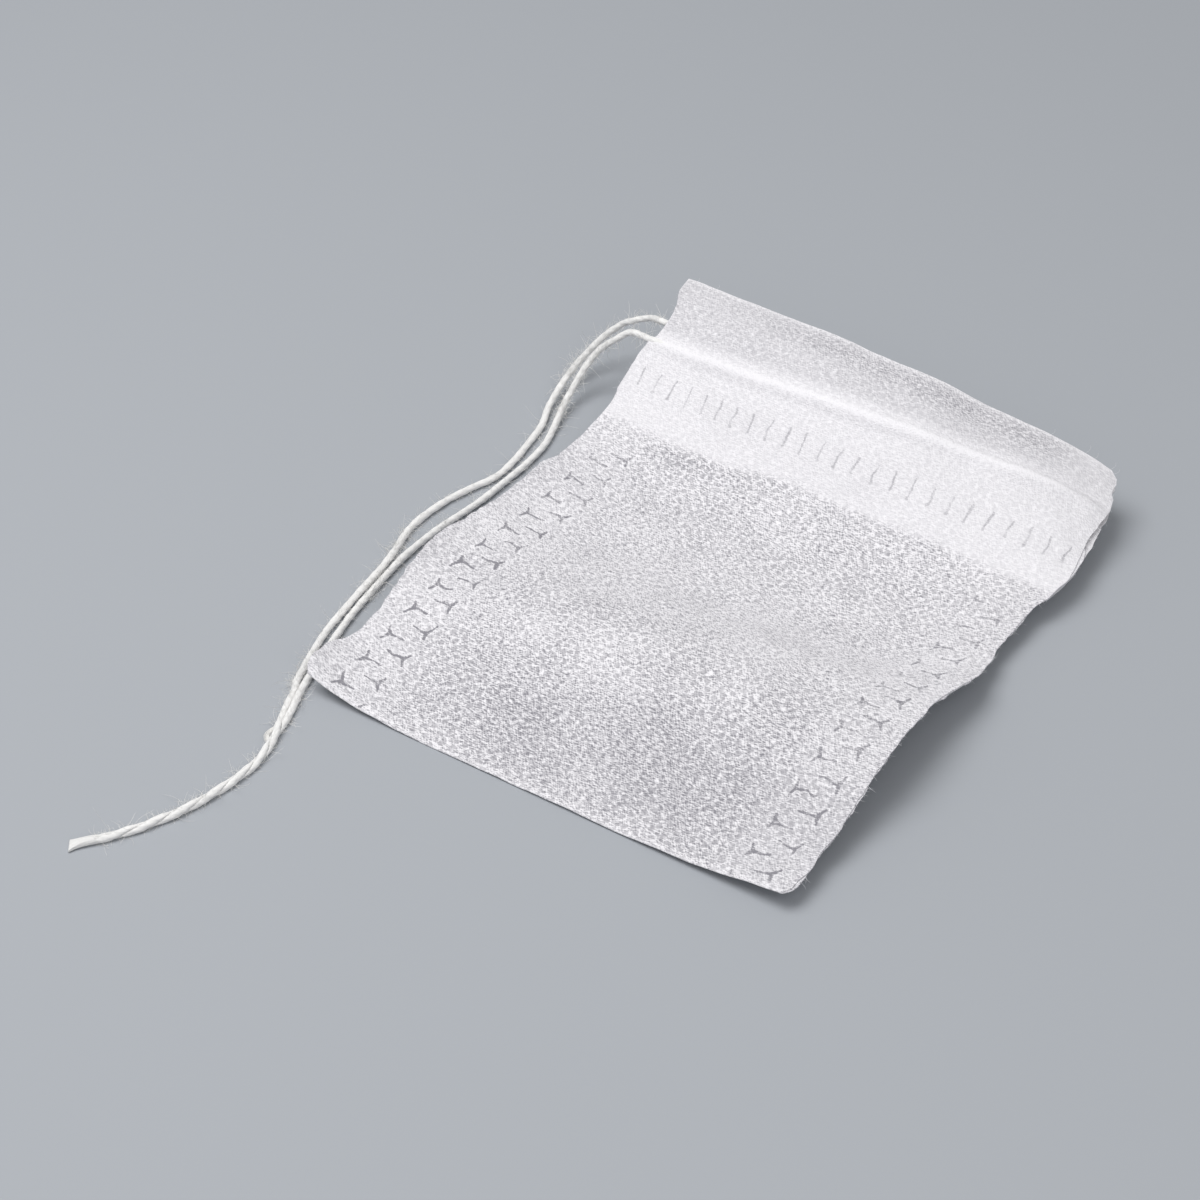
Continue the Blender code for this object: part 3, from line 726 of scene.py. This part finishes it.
def loose_ply(line, material):
    """A wisp of yarn that has come away from the cord in a small loop."""
    here, reach = int(WISP_PLACE * len(line)), WISP_REACH
    part = line[here - reach : here + reach]
    out = np.cross((0, 0, 1), np.gradient(part, axis=0))
    out *= np.sign(out[reach] @ (-1, 0.2, 0)) / np.linalg.norm(out, axis=1, keepdims=True)
    swing = hump(np.linspace(-1, 1, 2 * reach)) ** 0.7
    paths = []
    r = np.random.default_rng(8)
    for _ in range(WISP_FIBRES):
        jitter = r.normal(0, 0.06, 3) * (1, 1, 0.6)
        path = part + out * (swing * r.uniform(0.8, 1.45))[:, None] + jitter * swing[:, None]
        path[:, 2] = np.maximum(path[:, 2] - 0.15 * swing, 0.05)
        paths.append(path[::3])
    return fibre_mesh("string_loose_ply", paths, WISP_FIBRE_RADIUS, material)


def fibre_mesh(name, paths, radius, material):
    """Thin closed fibres along the given short lines, three-sided and pointed at the end."""
    points, faces = [], []
    for path in paths:
        across, up = frames_along(path)
        start = len(points)
        steps = len(path)
        for k in range(steps - 1):
            thin = radius * (1 - 0.55 * k / steps)
            for j in range(3):
                angle = 2 * math.pi * j / 3
                points.append(path[k] + thin * (math.cos(angle) * across[k] + math.sin(angle) * up[k]))
        points.append(path[-1])
        tip = len(points) - 1
        faces.append((start + 2, start + 1, start))
        for k in range(steps - 2):
            for j in range(3):
                a, b = start + 3 * k + j, start + 3 * k + (j + 1) % 3
                faces.append((a, b, b + 3, a + 3))
        last = start + 3 * (steps - 2)
        for j in range(3):
            faces.append((last + j, last + (j + 1) % 3, tip))
    return mesh_object(name, np.array(points), faces, material)


def curly(r, start, heading, length, curl, steps):
    """A short line that wanders from its heading, never below the table."""
    path = [np.array(start, float)]
    heading = np.array(heading, float)
    bend = r.normal(0, curl, 3)
    for _ in range(steps):
        heading = heading + bend / steps + r.normal(0, curl * 0.25, 3) / steps
        heading /= np.linalg.norm(heading)
        step = path[-1] + heading * length / steps
        if step[2] < 0.03:
            step[2] = 0.03
            heading[2] = abs(heading[2]) * 0.2
        path.append(step)
    return np.array(path)


def string_fuzz(lines, material):
    """Stray fibres that stand off the free strands, thicker in some places."""
    r = np.random.default_rng(21)
    paths = []
    for line in lines:
        across, up = frames_along(line)
        ahead = np.gradient(line, axis=0) / STRAND_STEP
        along = lengths_along(line)
        thick = 1 + 1.6 * ripples(22, along, line[0, 1], 9, 30).clip(0)
        thick = thick + CLUMP * hump((along - CLUMP_AT) / CLUMP_REACH)
        chance = thick / thick.sum()
        for k in r.choice(len(line), int(along[-1] * FIBRES_PER_MM), p=chance):
            k = int(np.clip(k, FIRST_FIBRE, len(line) - LAST_FIBRE))
            turn = r.uniform(0, 2 * math.pi)
            out = math.cos(turn) * across[k] + math.sin(turn) * up[k]
            heading = out * r.uniform(0.3, 1.0) + ahead[k] * r.normal(0, 1.0)
            heading /= np.linalg.norm(heading)
            length = min(r.gamma(1.7, 0.62) + 0.25, LONGEST_STRING_FIBRE)
            start = line[k] + out * STRING_DIAMETER * FIBRE_ROOT
            if start[2] < 0.05:
                continue
            paths.append(curly(r, start, heading, length, 2.6, 7))
    return fibre_mesh("string_fibres", paths, STRING_FIBRE_RADIUS, material)


# Cloth


def weld_segments():
    """The weld marks as line pieces on the flat cloth: two ends and how deep they press."""
    found = []

    def forked(s, t, stem_angle):
        depth = SEAM_PRESS * (1 - 0.55 * smooth((t - 38) / 24))
        arms = ((0, MARK_STEM), (MARK_ARM_ANGLE, MARK_ARM), (-MARK_ARM_ANGLE, MARK_ARM))
        for turn, length in arms:
            end_s = s + length * math.cos(stem_angle + turn)
            end_t = t + length * math.sin(stem_angle + turn)
            found.append((s, t, end_s, end_t, depth))

    t = SEAM_START
    while t < HEM_BOTTOM - SEAM_TOP_MARGIN:
        half = t + SEAM_PITCH / 2
        forked(SEAM_OUTER_INSET, t, 0)
        forked(WIDTH - SEAM_OUTER_INSET, t, math.pi)
        if half < HEM_BOTTOM - SEAM_TOP_MARGIN:
            forked(SEAM_INNER_INSET, half, math.pi)
            forked(WIDTH - SEAM_INNER_INSET, half, 0)
        t += SEAM_PITCH
    low, high = HEM_WELD_T - HEM_WELD_LENGTH / 2, HEM_WELD_T + HEM_WELD_LENGTH / 2
    for s in np.linspace(HEM_WELD_MARGIN, WIDTH - HEM_WELD_MARGIN, HEM_WELDS):
        found.append((s, low, s, high, HEM_PRESS))
    return found


def press_at(s, t):
    """How deep the nearest weld mark presses at each flat point, and how far off it is."""
    press = np.zeros(len(s))
    nearest = np.full(len(s), 1e9)
    for a_s, a_t, b_s, b_t, depth in weld_segments():
        off_s, off_t = np.abs(s - (a_s + b_s) / 2), np.abs(t - (a_t + b_t) / 2)
        close = np.flatnonzero(np.maximum(off_s, off_t) < PRESS_REACH)
        along_s, along_t = b_s - a_s, b_t - a_t
        squared = along_s**2 + along_t**2
        v = np.clip(((s[close] - a_s) * along_s + (t[close] - a_t) * along_t) / squared, 0, 1)
        off = np.hypot(s[close] - a_s - v * along_s, t[close] - a_t - v * along_t)
        press[close] = np.maximum(press[close], depth * np.exp(-((off / PRESS_WIDTH) ** 2)))
        nearest[close] = np.minimum(nearest[close], off)
    return press, nearest


def steps(start, end, step):
    """Even values from start up to but not including end, no further apart than step."""
    return np.linspace(start, end, math.ceil(abs(end - start) / step), endpoint=False)


def half_strip(side):
    """Rows from the bottom fold to one flap's raw edge: t, level, and 1 where it is a panel."""
    fold = (HEM_LEVEL - FLAP_LEVEL) / 2
    top = HEIGHT - fold
    low, high = FRONT_STRING - 2.5, FRONT_STRING + 5.5
    spans = ((BODY_LEVEL, low, ROW_STEP), (low, high, STRING_ROW_STEP), (high, top, ROW_STEP))
    rows = [(t, HEM_LEVEL, 1, side) for span in spans for t in steps(*span)]
    for k in range(6):
        turn = math.pi * k / 5
        level = HEM_LEVEL - fold * (1 - math.cos(turn))
        rows.append((top + fold * math.sin(turn), level, 1 if k == 0 else 0, side))
    rows += [(t, FLAP_LEVEL, 0, side) for t in steps(top, HEM_BOTTOM, FLAP_ROW_STEP)[1:]]
    rows.append((HEM_BOTTOM, FLAP_LEVEL, 0, side))
    return rows


def strip_rows():
    """All rows of the strip, from the back flap's raw edge round the bottom to the front's."""
    bottom = []
    for k in range(1, 5):
        turn = math.pi * k / 5
        bottom.append((BODY_LEVEL * (1 - math.sin(turn)), -BODY_LEVEL * math.cos(turn), 0, 1))
    return np.array(half_strip(-1)[::-1] + bottom + half_strip(1))


def panel_level(s, t, side):
    """Level of a panel: low in the body, higher in the hem and highest over the string."""
    in_hem = smooth((t - HEM_BOTTOM) / HEM_RAMP + 0.5)
    body = CLOTH / 2 + 0.015
    sealed = smooth((np.minimum(s, WIDTH - s) - 2.5) / 5) * smooth((t + 1.5) / 5)
    body += (BODY_LEVEL - body) * sealed
    level = body + (HEM_LEVEL - body) * in_hem
    from_string = t - string_height(s, side)
    tunnel = hump(from_string / np.where(from_string < 0, TUNNEL_BELOW, TUNNEL_ABOVE))
    level += (TUNNEL_LEVEL - HEM_LEVEL) * tunnel * smooth((WIDTH + 1 - s) / 4)
    seam = SEAM_INNER_INSET + MARK_STEM
    window = smooth((s - seam) / PILLOW_EASE) * smooth((WIDTH - seam - s) / PILLOW_EASE)
    window *= smooth(t / PILLOW_EASE) * smooth((HEM_BOTTOM - HEM_RAMP - t) / PILLOW_EASE)
    return level + np.where(side > 0, PILLOW, 0.0) * window


def cut_waves(seed, t, side, drift):
    """Small random waves of a cut edge, others on each panel."""
    waves = 0.10 * ripples(seed, t, 9.0 * side, 3, 8)
    return waves + 0.06 * ripples(seed + 1, t, drift * side, 1.2, 2.4)


def left_edge(t, side, panel):
    """Left cut edge, drawn in where the back strand comes out in front of it."""
    edge = -LEFT_EDGE_SHARE * profile(LEFT_EDGE_AT, LEFT_EDGE_OUT, t)
    edge += cut_waves(31, t, side, 7.0) + local(LEFT_DRAW_IN, t)
    return edge + np.where(side > 0, panel, 0.0) * local(LEFT_PANEL_DRAW_IN, t)


def right_edge(t, side, panel):
    """Right cut edge: the front panel's lies a little inside the back panel's in the hem."""
    waves = cut_waves(33, t, side, 5.0) * (1 - 0.6 * smooth((t - 64) / 6))
    edge = WIDTH + profile(RIGHT_EDGE_AT, RIGHT_EDGE_OUT, t) + waves
    edge -= np.where(side > 0, panel, 0.0) * local(RIGHT_PANEL_DRAW_IN, t)
    edge = edge - panel * local(RIGHT_NOTCH, t) - (1 - panel) * local(RIGHT_FLAP_DRAW_IN, t)
    top = np.clip((t - HEIGHT + TOP_CORNER) / TOP_CORNER, 0, 1)
    low = np.clip((LOW_CORNER - t) / LOW_CORNER, 0, 1)
    edge -= TOP_CORNER * (1 - np.sqrt(1 - top**2))
    return edge - LOW_CORNER_DRAW_IN * (1 - np.sqrt(1 - 0.98 * low**2))


def refined_grid(columns, rows, chosen):
    """Faces of a grid by their fine places; a chosen cell is split FINE times each way."""
    faces = []
    inner = range(1, FINE)
    for i in range(columns):
        for j in range(rows):
            x, y = i * FINE, j * FINE
            if chosen[i, j]:
                for a in range(x, x + FINE):
                    for b in range(y, y + FINE):
                        faces.append(((a, b), (a + 1, b), (a + 1, b + 1), (a, b + 1)))
                continue
            ring = []
            for step_x, step_y in ((1, 0), (0, 1), (-1, 0), (0, -1)):
                ring.append((x, y))
                next_i, next_j = i + step_y, j - step_x
                if 0 <= next_i < columns and 0 <= next_j < rows and chosen[next_i, next_j]:
                    ring += [(x + step_x * k, y + step_y * k) for k in inner]
                x, y = x + step_x * FINE, y + step_y * FINE
            faces.append(tuple(ring))
    return faces


def raw_edge_at(s, side):
    """How high up the bag the flap's raw edge shows through its panel."""
    return HEM_BOTTOM - 0.2 + 1.5 * hump((s - 42) / 32) + 0.25 * ripples(41, s, 3.0 * side, 6, 20)


def coarse_at(s, t, side):
    """How strongly the cloth's grain shows: fully in the body, little where layers are close."""
    hem = smooth((t - raw_edge_at(s, side)) / 1.1 + 0.5)
    rim = np.minimum(s, WIDTH - s)
    coarse = 0.8 + 0.2 * smooth((rim - 7) / 5) - 0.12 * hump((t - 9) / 16) * smooth((s - 20) / 20)
    coarse -= (coarse - 0.28) * hem
    strip = 0.16 * smooth((t - string_height(s, side) - 1) / 3)
    strip += 0.30 * hump((t - HEIGHT + 2.5) / 3.5) * smooth((s - 10) / 25)
    return coarse + strip * (1 - 0.9 * smooth((s - 56) / 8))


def cover_and_painted_light_at(s, t, panel, side):
    """Fibre cover, least over two layers and most over four, with painted highlights and light."""
    raw_edge = raw_edge_at(s, side)
    hem = smooth((t - raw_edge) / 1.1 + 0.5)
    from_string = t - string_height(s, side)
    rim = np.minimum(s, WIDTH - s)
    cover_and_painted_light = 0.665 + 0.015 * ripples(43, s, t + 300.0 * side, 9, 24)
    cover_and_painted_light -= 0.23 * hump((t - 8) / 17) * smooth((s + 6) / 34) * (1 - 0.3 * smooth((s - 52) / 14))
    # A painted highlight in a band along the crest of the body's ridge
    crest = 22 + 0.68 * np.clip(s - 30, 0, None)
    cover_and_painted_light += 0.05 * hump((t - crest) / 4.5) * smooth((s - 8) / 14)
    # The first band is painted light that lifts a slope the lamps leave in shade
    for *change, start, run in LIGHTER_AND_DARKER_BANDS:
        cover_and_painted_light += local(change, t) * smooth((s - start) / run)
    cover_and_painted_light += 0.03 * (1 - smooth((rim - 0.2) / 3.0)) + 0.03 * (1 - smooth((rim - 8) / 4))
    cover_and_painted_light += (0.86 - cover_and_painted_light) * hem
    strip = 0.22 * smooth((from_string - 0.8) / 2.2)
    strip += 0.12 * hump((t - HEIGHT + 2.5) / 3.5) * smooth((s - 6) / 16)
    cover_and_painted_light -= strip * (1 - 0.75 * smooth((s - 56) / 8))
    cover_and_painted_light -= 0.14 * hump((t - raw_edge + 1.9) / 2.2) * hump((s - 15) / 13)
    # A bright line over the string: the string showing white through the cloth, and a painted
    # highlight along its top
    cover_and_painted_light += 0.22 * np.exp(-((from_string / 0.5) ** 2)) * smooth((WIDTH - 4 - s) / 5)
    # Painted highlights along the mouth fold and along the bottom fold
    cover_and_painted_light += 0.30 * smooth((t - HEIGHT + 0.75) / 0.5)
    cover_and_painted_light += 0.14 * (1 - smooth((t - 0.1) / 0.8))
    return np.where(panel > 0.5, np.minimum(cover_and_painted_light, 1.05), 0.80)


def cloth_mesh(drape, material):
    """The folded and welded strip as one closed thin sheet."""
    rows = strip_rows()
    count = len(rows) - 1
    cell_s = (np.arange(COLUMNS) + 0.5) / COLUMNS * WIDTH
    cell_t = (rows[1:, 0] + rows[:-1, 0]) / 2
    is_panel = (rows[1:, 2] > 0.5) & (rows[:-1, 2] > 0.5)
    grid_s, grid_t = (v.ravel() for v in np.meshgrid(cell_s, cell_t, indexing="ij"))
    near = press_at(grid_s, grid_t)[1].reshape(COLUMNS, count)
    chosen = (near < MARK_REACH) & is_panel[None, :]
    faces = refined_grid(COLUMNS, count, chosen)

    places = sorted({corner for face in faces for corner in face})
    index = {place: k for k, place in enumerate(places)}
    faces = [tuple(index[corner] for corner in face) for face in faces]
    fine = np.array(places, float) / FINE
    u, row = fine[:, 0] / COLUMNS, fine[:, 1]
    numbers = np.arange(len(rows))
    t, level, panel, side = (np.interp(row, numbers, rows[:, k]) for k in range(4))
    face_side = np.where(row > numbers[-1] / 2, 1.0, -1.0)
    q = np.interp(row, numbers, lengths_along(rows[:, :2]))

    left, right = left_edge(t, face_side, panel), right_edge(t, face_side, panel)
    s = left + u * (right - left)
    press = press_at(s, t)[0] * (panel > 0.5)
    raised = panel_level(s, t, face_side)
    lowest = np.where(t > HEM_BOTTOM, FLAP_LEVEL + CLOTH + 0.01, CLOTH / 2 + 0.008)
    raised = np.where(raised > lowest, lowest + (raised - lowest) * (1 - press), raised)
    at_edge = 1 - smooth(np.minimum(u, 1 - u) * WIDTH / 2.5)
    closing = 1 - 0.2 * at_edge * smooth((t - HEM_BOTTOM + 2) / 4)
    n = face_side * closing * (panel * raised + (1 - panel) * level)
    is_bottom = (panel < 0.5) & (t < 1.0)
    squeeze = panel_level(s, 0 * t, 1.0) / BODY_LEVEL
    n = np.where(is_bottom, level * squeeze, n)
    points = drape.place(s, t, n)
    points[:, 2] = np.maximum(points[:, 2], CLOTH / 2 + 0.012)

    item = mesh_object("filter_bag_cloth", points, faces, material)
    mesh = item.data
    corners = np.zeros(len(mesh.loops), np.int32)
    mesh.loops.foreach_get("vertex_index", corners)
    set_flat_places(mesh, "Cloth", np.stack([s, q], -1)[corners] / FLAT_SCALE)
    fields = {"cover_and_painted_light": cover_and_painted_light_at(s, t, panel, face_side), "height": t, "panel": panel}
    fields["coarse"] = coarse_at(s, t, face_side)
    for name, values in fields.items():
        attribute = mesh.attributes.new(name, "FLOAT", "POINT")
        attribute.data.foreach_set("value", values.astype(np.float32))

    wall = item.modifiers.new("thickness", "SOLIDIFY")
    wall.thickness, wall.offset, wall.use_even_offset = CLOTH * MM, 0, False
    bpy.context.view_layer.update()
    graph = bpy.context.evaluated_depsgraph_get()
    solid = bpy.data.meshes.new_from_object(item.evaluated_get(graph))
    item.modifiers.clear()
    item.data = solid
    solid.name = "filter_bag_cloth"
    solid.set_sharp_from_angle(angle=math.radians(60))
    return item


def edge_fuzz(drape, material):
    """Short fibres that stick out of the cut side edges, and a few loops at the mouth."""
    r = np.random.default_rng(33)
    paths = []

    def rim_point(edge, inward, t, face):
        """A place on the rim, and the direction outward there."""
        s = edge(np.array([t]), np.array([face]), np.array([1.0]))[0] + 0.12 * inward
        level = panel_level(np.array([s]), np.array([t]), face)[0] * 0.8
        start, out = drape.place([s, s - inward], t, face * level)
        return start, (out - start) / np.linalg.norm(out - start)

    for edge, inward in ((left_edge, 1), (right_edge, -1)):
        for _ in range(EDGE_FIBRES):
            t, face = r.uniform(0.3, HEIGHT - 1.5), float(r.choice((-1, 1)))
            start, out = rim_point(edge, inward, t, face)
            start[2] = max(start[2], 0.05)
            heading = out + r.normal(0, 0.8, 3) * (1, 1, 0.6)
            heading /= np.linalg.norm(heading)
            length = min(0.15 + r.gamma(1.5, 0.22), LONGEST_EDGE_FIBRE)
            paths.append(curly(r, start, heading, length, 2.4, 5))
    angle = np.linspace(0, 2.6, 9)
    loop = np.stack([np.sin(angle), 1.2 - 1.2 * np.cos(angle), angle * 0.25], -1)
    for s, length in RIM_LOOPS:
        start = drape.place(s, HEIGHT - 0.1, 0.1)[0]
        paths.append(start + length * 0.35 * loop)
    return fibre_mesh("cloth_edge_fibres", paths, EDGE_FIBRE_RADIUS, material)


# Materials


def weld_marks(n, place, height, panel):
    """Darkness of the weld marks and of the light rim round them, drawn as distances."""
    bent = n.vector("SUBTRACT", n.noise(place, 0.42, 1.0, out="Color"), (0.5, 0.5, 0.5))
    bend = n.parts(n.vector("SCALE", bent, scale=MARK_WANDER))
    s = n.math("ADD", n.parts(place)["X"], bend["X"])
    t = n.math("ADD", height, n.math("MULTIPLY", bend["Y"], 1.2))
    inward = n.math("MINIMUM", s, n.math("SUBTRACT", WIDTH, s))

    half = SEAM_PITCH / 2
    arm_end = (MARK_ARM * math.cos(MARK_ARM_ANGLE), MARK_ARM * math.sin(MARK_ARM_ANGLE))
    found = []
    rows = ((SEAM_OUTER_INSET, SEAM_START, 1), (SEAM_INNER_INSET, SEAM_START + half, -1))
    for inset, start, turned in rows:
        x = n.math("MULTIPLY", n.math("SUBTRACT", inward, inset), turned)
        y = n.math("ABSOLUTE", n.math("WRAP", n.math("SUBTRACT", t, start), half, -half))
        local_place = n.pair(x, y)
        stem = n.line_distance(local_place, (0, 0), (MARK_STEM, 0))
        arm = n.line_distance(local_place, (0, 0), arm_end)
        middle = n.vector("LENGTH", local_place, out="Value")
        found.append((n.math("MINIMUM", stem, arm), middle))
    nearest, fork = (n.math("MINIMUM", *both) for both in zip(*found))
    last = HEM_BOTTOM - SEAM_TOP_MARGIN
    below_hem = n.ramped(height, last - 0.6, last, 1, 0)
    strength = n.product(
        n.ramped(height, 38, 64, 1.0, 0.6),
        n.ramped(n.noise(place, 0.3, 1.0), 0.3, 0.62, 0.75, 1.0),
        n.ramped(s, 10, 60, 1.25, 0.95),
    )

    pitch = (WIDTH - 2 * HEM_WELD_MARGIN) / (HEM_WELDS - 1)
    first = HEM_WELD_MARGIN - pitch / 2
    x = n.math("WRAP", n.math("SUBTRACT", s, first), pitch, 0.0)
    dash_place = n.pair(n.math("SUBTRACT", x, pitch / 2), n.math("SUBTRACT", t, HEM_WELD_T))
    reach = HEM_WELD_LENGTH / 2
    dash = n.line_distance(dash_place, (0, -reach), (0, reach))
    foot = n.vector("LENGTH", n.vector("SUBTRACT", dash_place, (0, -reach, 0)), out="Value")
    in_row = n.product(n.ramped(s, 0.6, 0.9), n.ramped(s, WIDTH - 0.9, WIDTH - 0.6, 1, 0))
    uneven = n.ramped(n.noise(place, 0.37), 0.3, 0.65, 0.28, 0.6)
    rough = n.math("MULTIPLY", n.math("SUBTRACT", n.noise(place, 5.5, 2.0, 0.7), 0.5), 0.34)

    def core(distance, width, power):
        edge = n.math("SUBTRACT", distance, rough)
        return n.math("MULTIPLY", n.ramped(edge, width * 0.35, width, 1, 0), power)

    widened = n.math("SUBTRACT", nearest, n.ramped(fork, 0.0, 1.1, 0.13, 0.0))
    seam_dark = n.math("MULTIPLY", core(widened, MARK_CORE, strength), below_hem)
    hem_dark = n.math("MAXIMUM", core(dash, DASH_CORE, uneven), core(foot, DASH_FOOT, uneven))
    hem_dark = n.math("MULTIPLY", hem_dark, in_row)
    dark = n.math("MULTIPLY", n.math("MAXIMUM", seam_dark, hem_dark), panel)
    return dark, n.product(n.ramped(nearest, *MARK_RIM, 0.6, 0.0), below_hem, panel)


def fibre_web(n, place):
    """Fine fibres that cross in several directions, about 0 on average."""
    webs = []
    for angle, along, across, share, shift in FIBRE_LAYERS:
        stretched = n.turned(place, angle, (1 / along, 1 / across), shift)
        webs.append(n.ramped(n.noise(stretched, 1.0), 0.32, 0.68, -share, share))
    return n.math("ADD", n.math("ADD", *webs[:2]), webs[2])


def bond_points(n, place):
    """Round bond points on a staggered grid and the light ring round each."""
    inputs = {"Vector": n.turned(place, 45), "Scale": 1 / BOND_PITCH, "Randomness": 0.35}
    dots = n.add("ShaderNodeTexVoronoi", inputs, voronoi_dimensions="2D").outputs["Distance"]
    clear = n.ramped(n.noise(place, 0.09, 1.0), 0.38, 0.62, 0.2, 1.0)
    bond = n.math("MULTIPLY", n.ramped(dots, 0.21, 0.31, 1.0, 0.0), clear)
    from_ring = n.math("ABSOLUTE", n.math("SUBTRACT", dots, 0.39))
    return bond, n.math("MULTIPLY", n.ramped(from_ring, 0.03, 0.10, 1, 0), clear)


def cloth_material():
    """Thin white nonwoven: crossing fibres, bond points, cloudy fibre layers, pressed marks and
    painted highlights.
    """
    n = Nodes(bpy.data.materials.new("nonwoven_cloth"))
    flat = n.add("ShaderNodeUVMap", uv_map="Cloth").outputs["UV"]
    place = n.vector("SCALE", flat, scale=FLAT_SCALE)
    web = fibre_web(n, place)
    tufts = n.math("SUBTRACT", n.noise(place, 2.6, 1.0, 0.8), 0.5)
    clouds = n.math("SUBTRACT", n.noise(place, 0.22, 2.0), 0.5)
    bond, ring = bond_points(n, place)
    marks, rims = weld_marks(n, place, n.carried("height"), n.carried("panel"))

    between_bonds = n.math("SUBTRACT", 1.0, n.math("MULTIPLY", bond, 0.6))
    grain = n.product(web, 0.25, between_bonds)
    grain = n.summed(grain, (tufts, 0.16), (clouds, 0.22), (bond, -0.17), (ring, 0.14))
    grain = n.math("MULTIPLY", grain, n.carried("coarse"))
    # This attribute brings the fibre cover together with painted highlights and painted light
    white = n.summed(n.math("ADD", n.carried("cover_and_painted_light"), grain), (rims, 0.16))
    white = n.math("SUBTRACT", white, n.math("MULTIPLY", marks, 0.66), clamp=True)
    colour = n.mixed(white, DARK_CLOTH, LIGHT_CLOTH)

    relief = n.summed(n.math("MULTIPLY", web, 0.3), (tufts, 0.6), (bond, -0.4), (marks, -1.0))
    normal = n.bumpy(relief, 0.6, 0.06)
    matte = {"Roughness": 0.82, "Specular IOR Level": 0.2}
    n.fill(n.shader, {"Base Color": colour, "Normal": normal, **matte})
    glow = n.add("ShaderNodeBsdfTranslucent", {"Color": colour, "Normal": normal})
    n.show(CLOTH_GLOW, n.shader, glow)
    return n.owner


def yarn_material(name, shade=1.0):
    """White cotton: fine threads that run along each ply."""
    n = Nodes(bpy.data.materials.new(name))
    flat = n.add("ShaderNodeUVMap", uv_map="Yarn").outputs["UV"]
    laid = n.add("ShaderNodeMapping", {"Vector": flat, "Scale": (34.0, 95.0, 1.0)})
    threads = n.noise(laid.outputs["Vector"], 1.0, 3.0, 0.6)
    light = n.coloured(threads, (0.25, DARK_COTTON), (0.62, LIGHT_COTTON))
    # With shade below one this is a darker copy of the cotton: painted shade
    warm = (*(shade * part for part in WARM_COTTON), 1)
    tint = n.mixed(n.noise(flat, 90.0, 2.0), warm, (shade, shade, shade, 1))
    cotton = {"Base Color": n.mixed(1.0, light, tint, "MULTIPLY"), "Sheen Weight": 0.15}
    matte = {"Roughness": 0.85, "Specular IOR Level": 0.2}
    n.fill(n.shader, {"Normal": n.bumpy(threads, 0.7, 0.09), **cotton, **matte})
    return n.owner


def fibre_material(name, colour):
    """Fine stray fibres, slightly varied along their length."""
    n = Nodes(bpy.data.materials.new(name))
    place = n.add("ShaderNodeTexCoord").outputs["Object"]
    uneven = n.add("ShaderNodeTexNoise", {"Vector": place, "Scale": 900.0, "Detail": 1.0})
    darker = tuple(0.88 * part for part in colour)
    varied = n.coloured(uneven.outputs["Fac"], (0.0, darker), (1.0, colour))
    matte = {"Roughness": 0.7, "Specular IOR Level": 0.3}
    n.fill(n.shader, {"Base Color": varied, **matte})
    return n.owner


def main():
    """Builds the scene round the CAD frame."""
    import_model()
    bpy.context.scene.view_settings.view_transform = "Standard"
    set_camera()
    drape = Drape()

    cotton = yarn_material("cotton_string")
    back_line, front_line = free_strands(drape)
    strands = [
        yarn("string_back_strand", back_line, cotton, 0.3, TAIL_SHARE, front_line),
        yarn("string_front_strand", front_line, cotton, 1.4, TAIL_SHARE, back_line),
    ]
    in_hems = yarn("string_in_hems", hem_line(drape), cotton, 0.0, HEM_STRING_SHARE)
    tip = string_tip(back_line, front_line, yarn_material("cotton_string_end_painted_shade", TIP_PAINTED_SHADE))
    fibres = fibre_material("cotton_fibres", STRING_FIBRES)
    fuzz = string_fuzz((back_line, front_line), fibres)
    wisp = loose_ply(back_line, fibres)
    for piece in (*strands, in_hems, tip, fuzz, wisp):
        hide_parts("drawstring")
        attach(piece, "root")

    set_stage()
    cloth = cloth_mesh(drape, cloth_material())
    edges = edge_fuzz(drape, fibre_material("cloth_fibres", CLOTH_FIBRES))
    for piece in (cloth, edges):
        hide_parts("filter_bag")
        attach(piece, "root")


main()
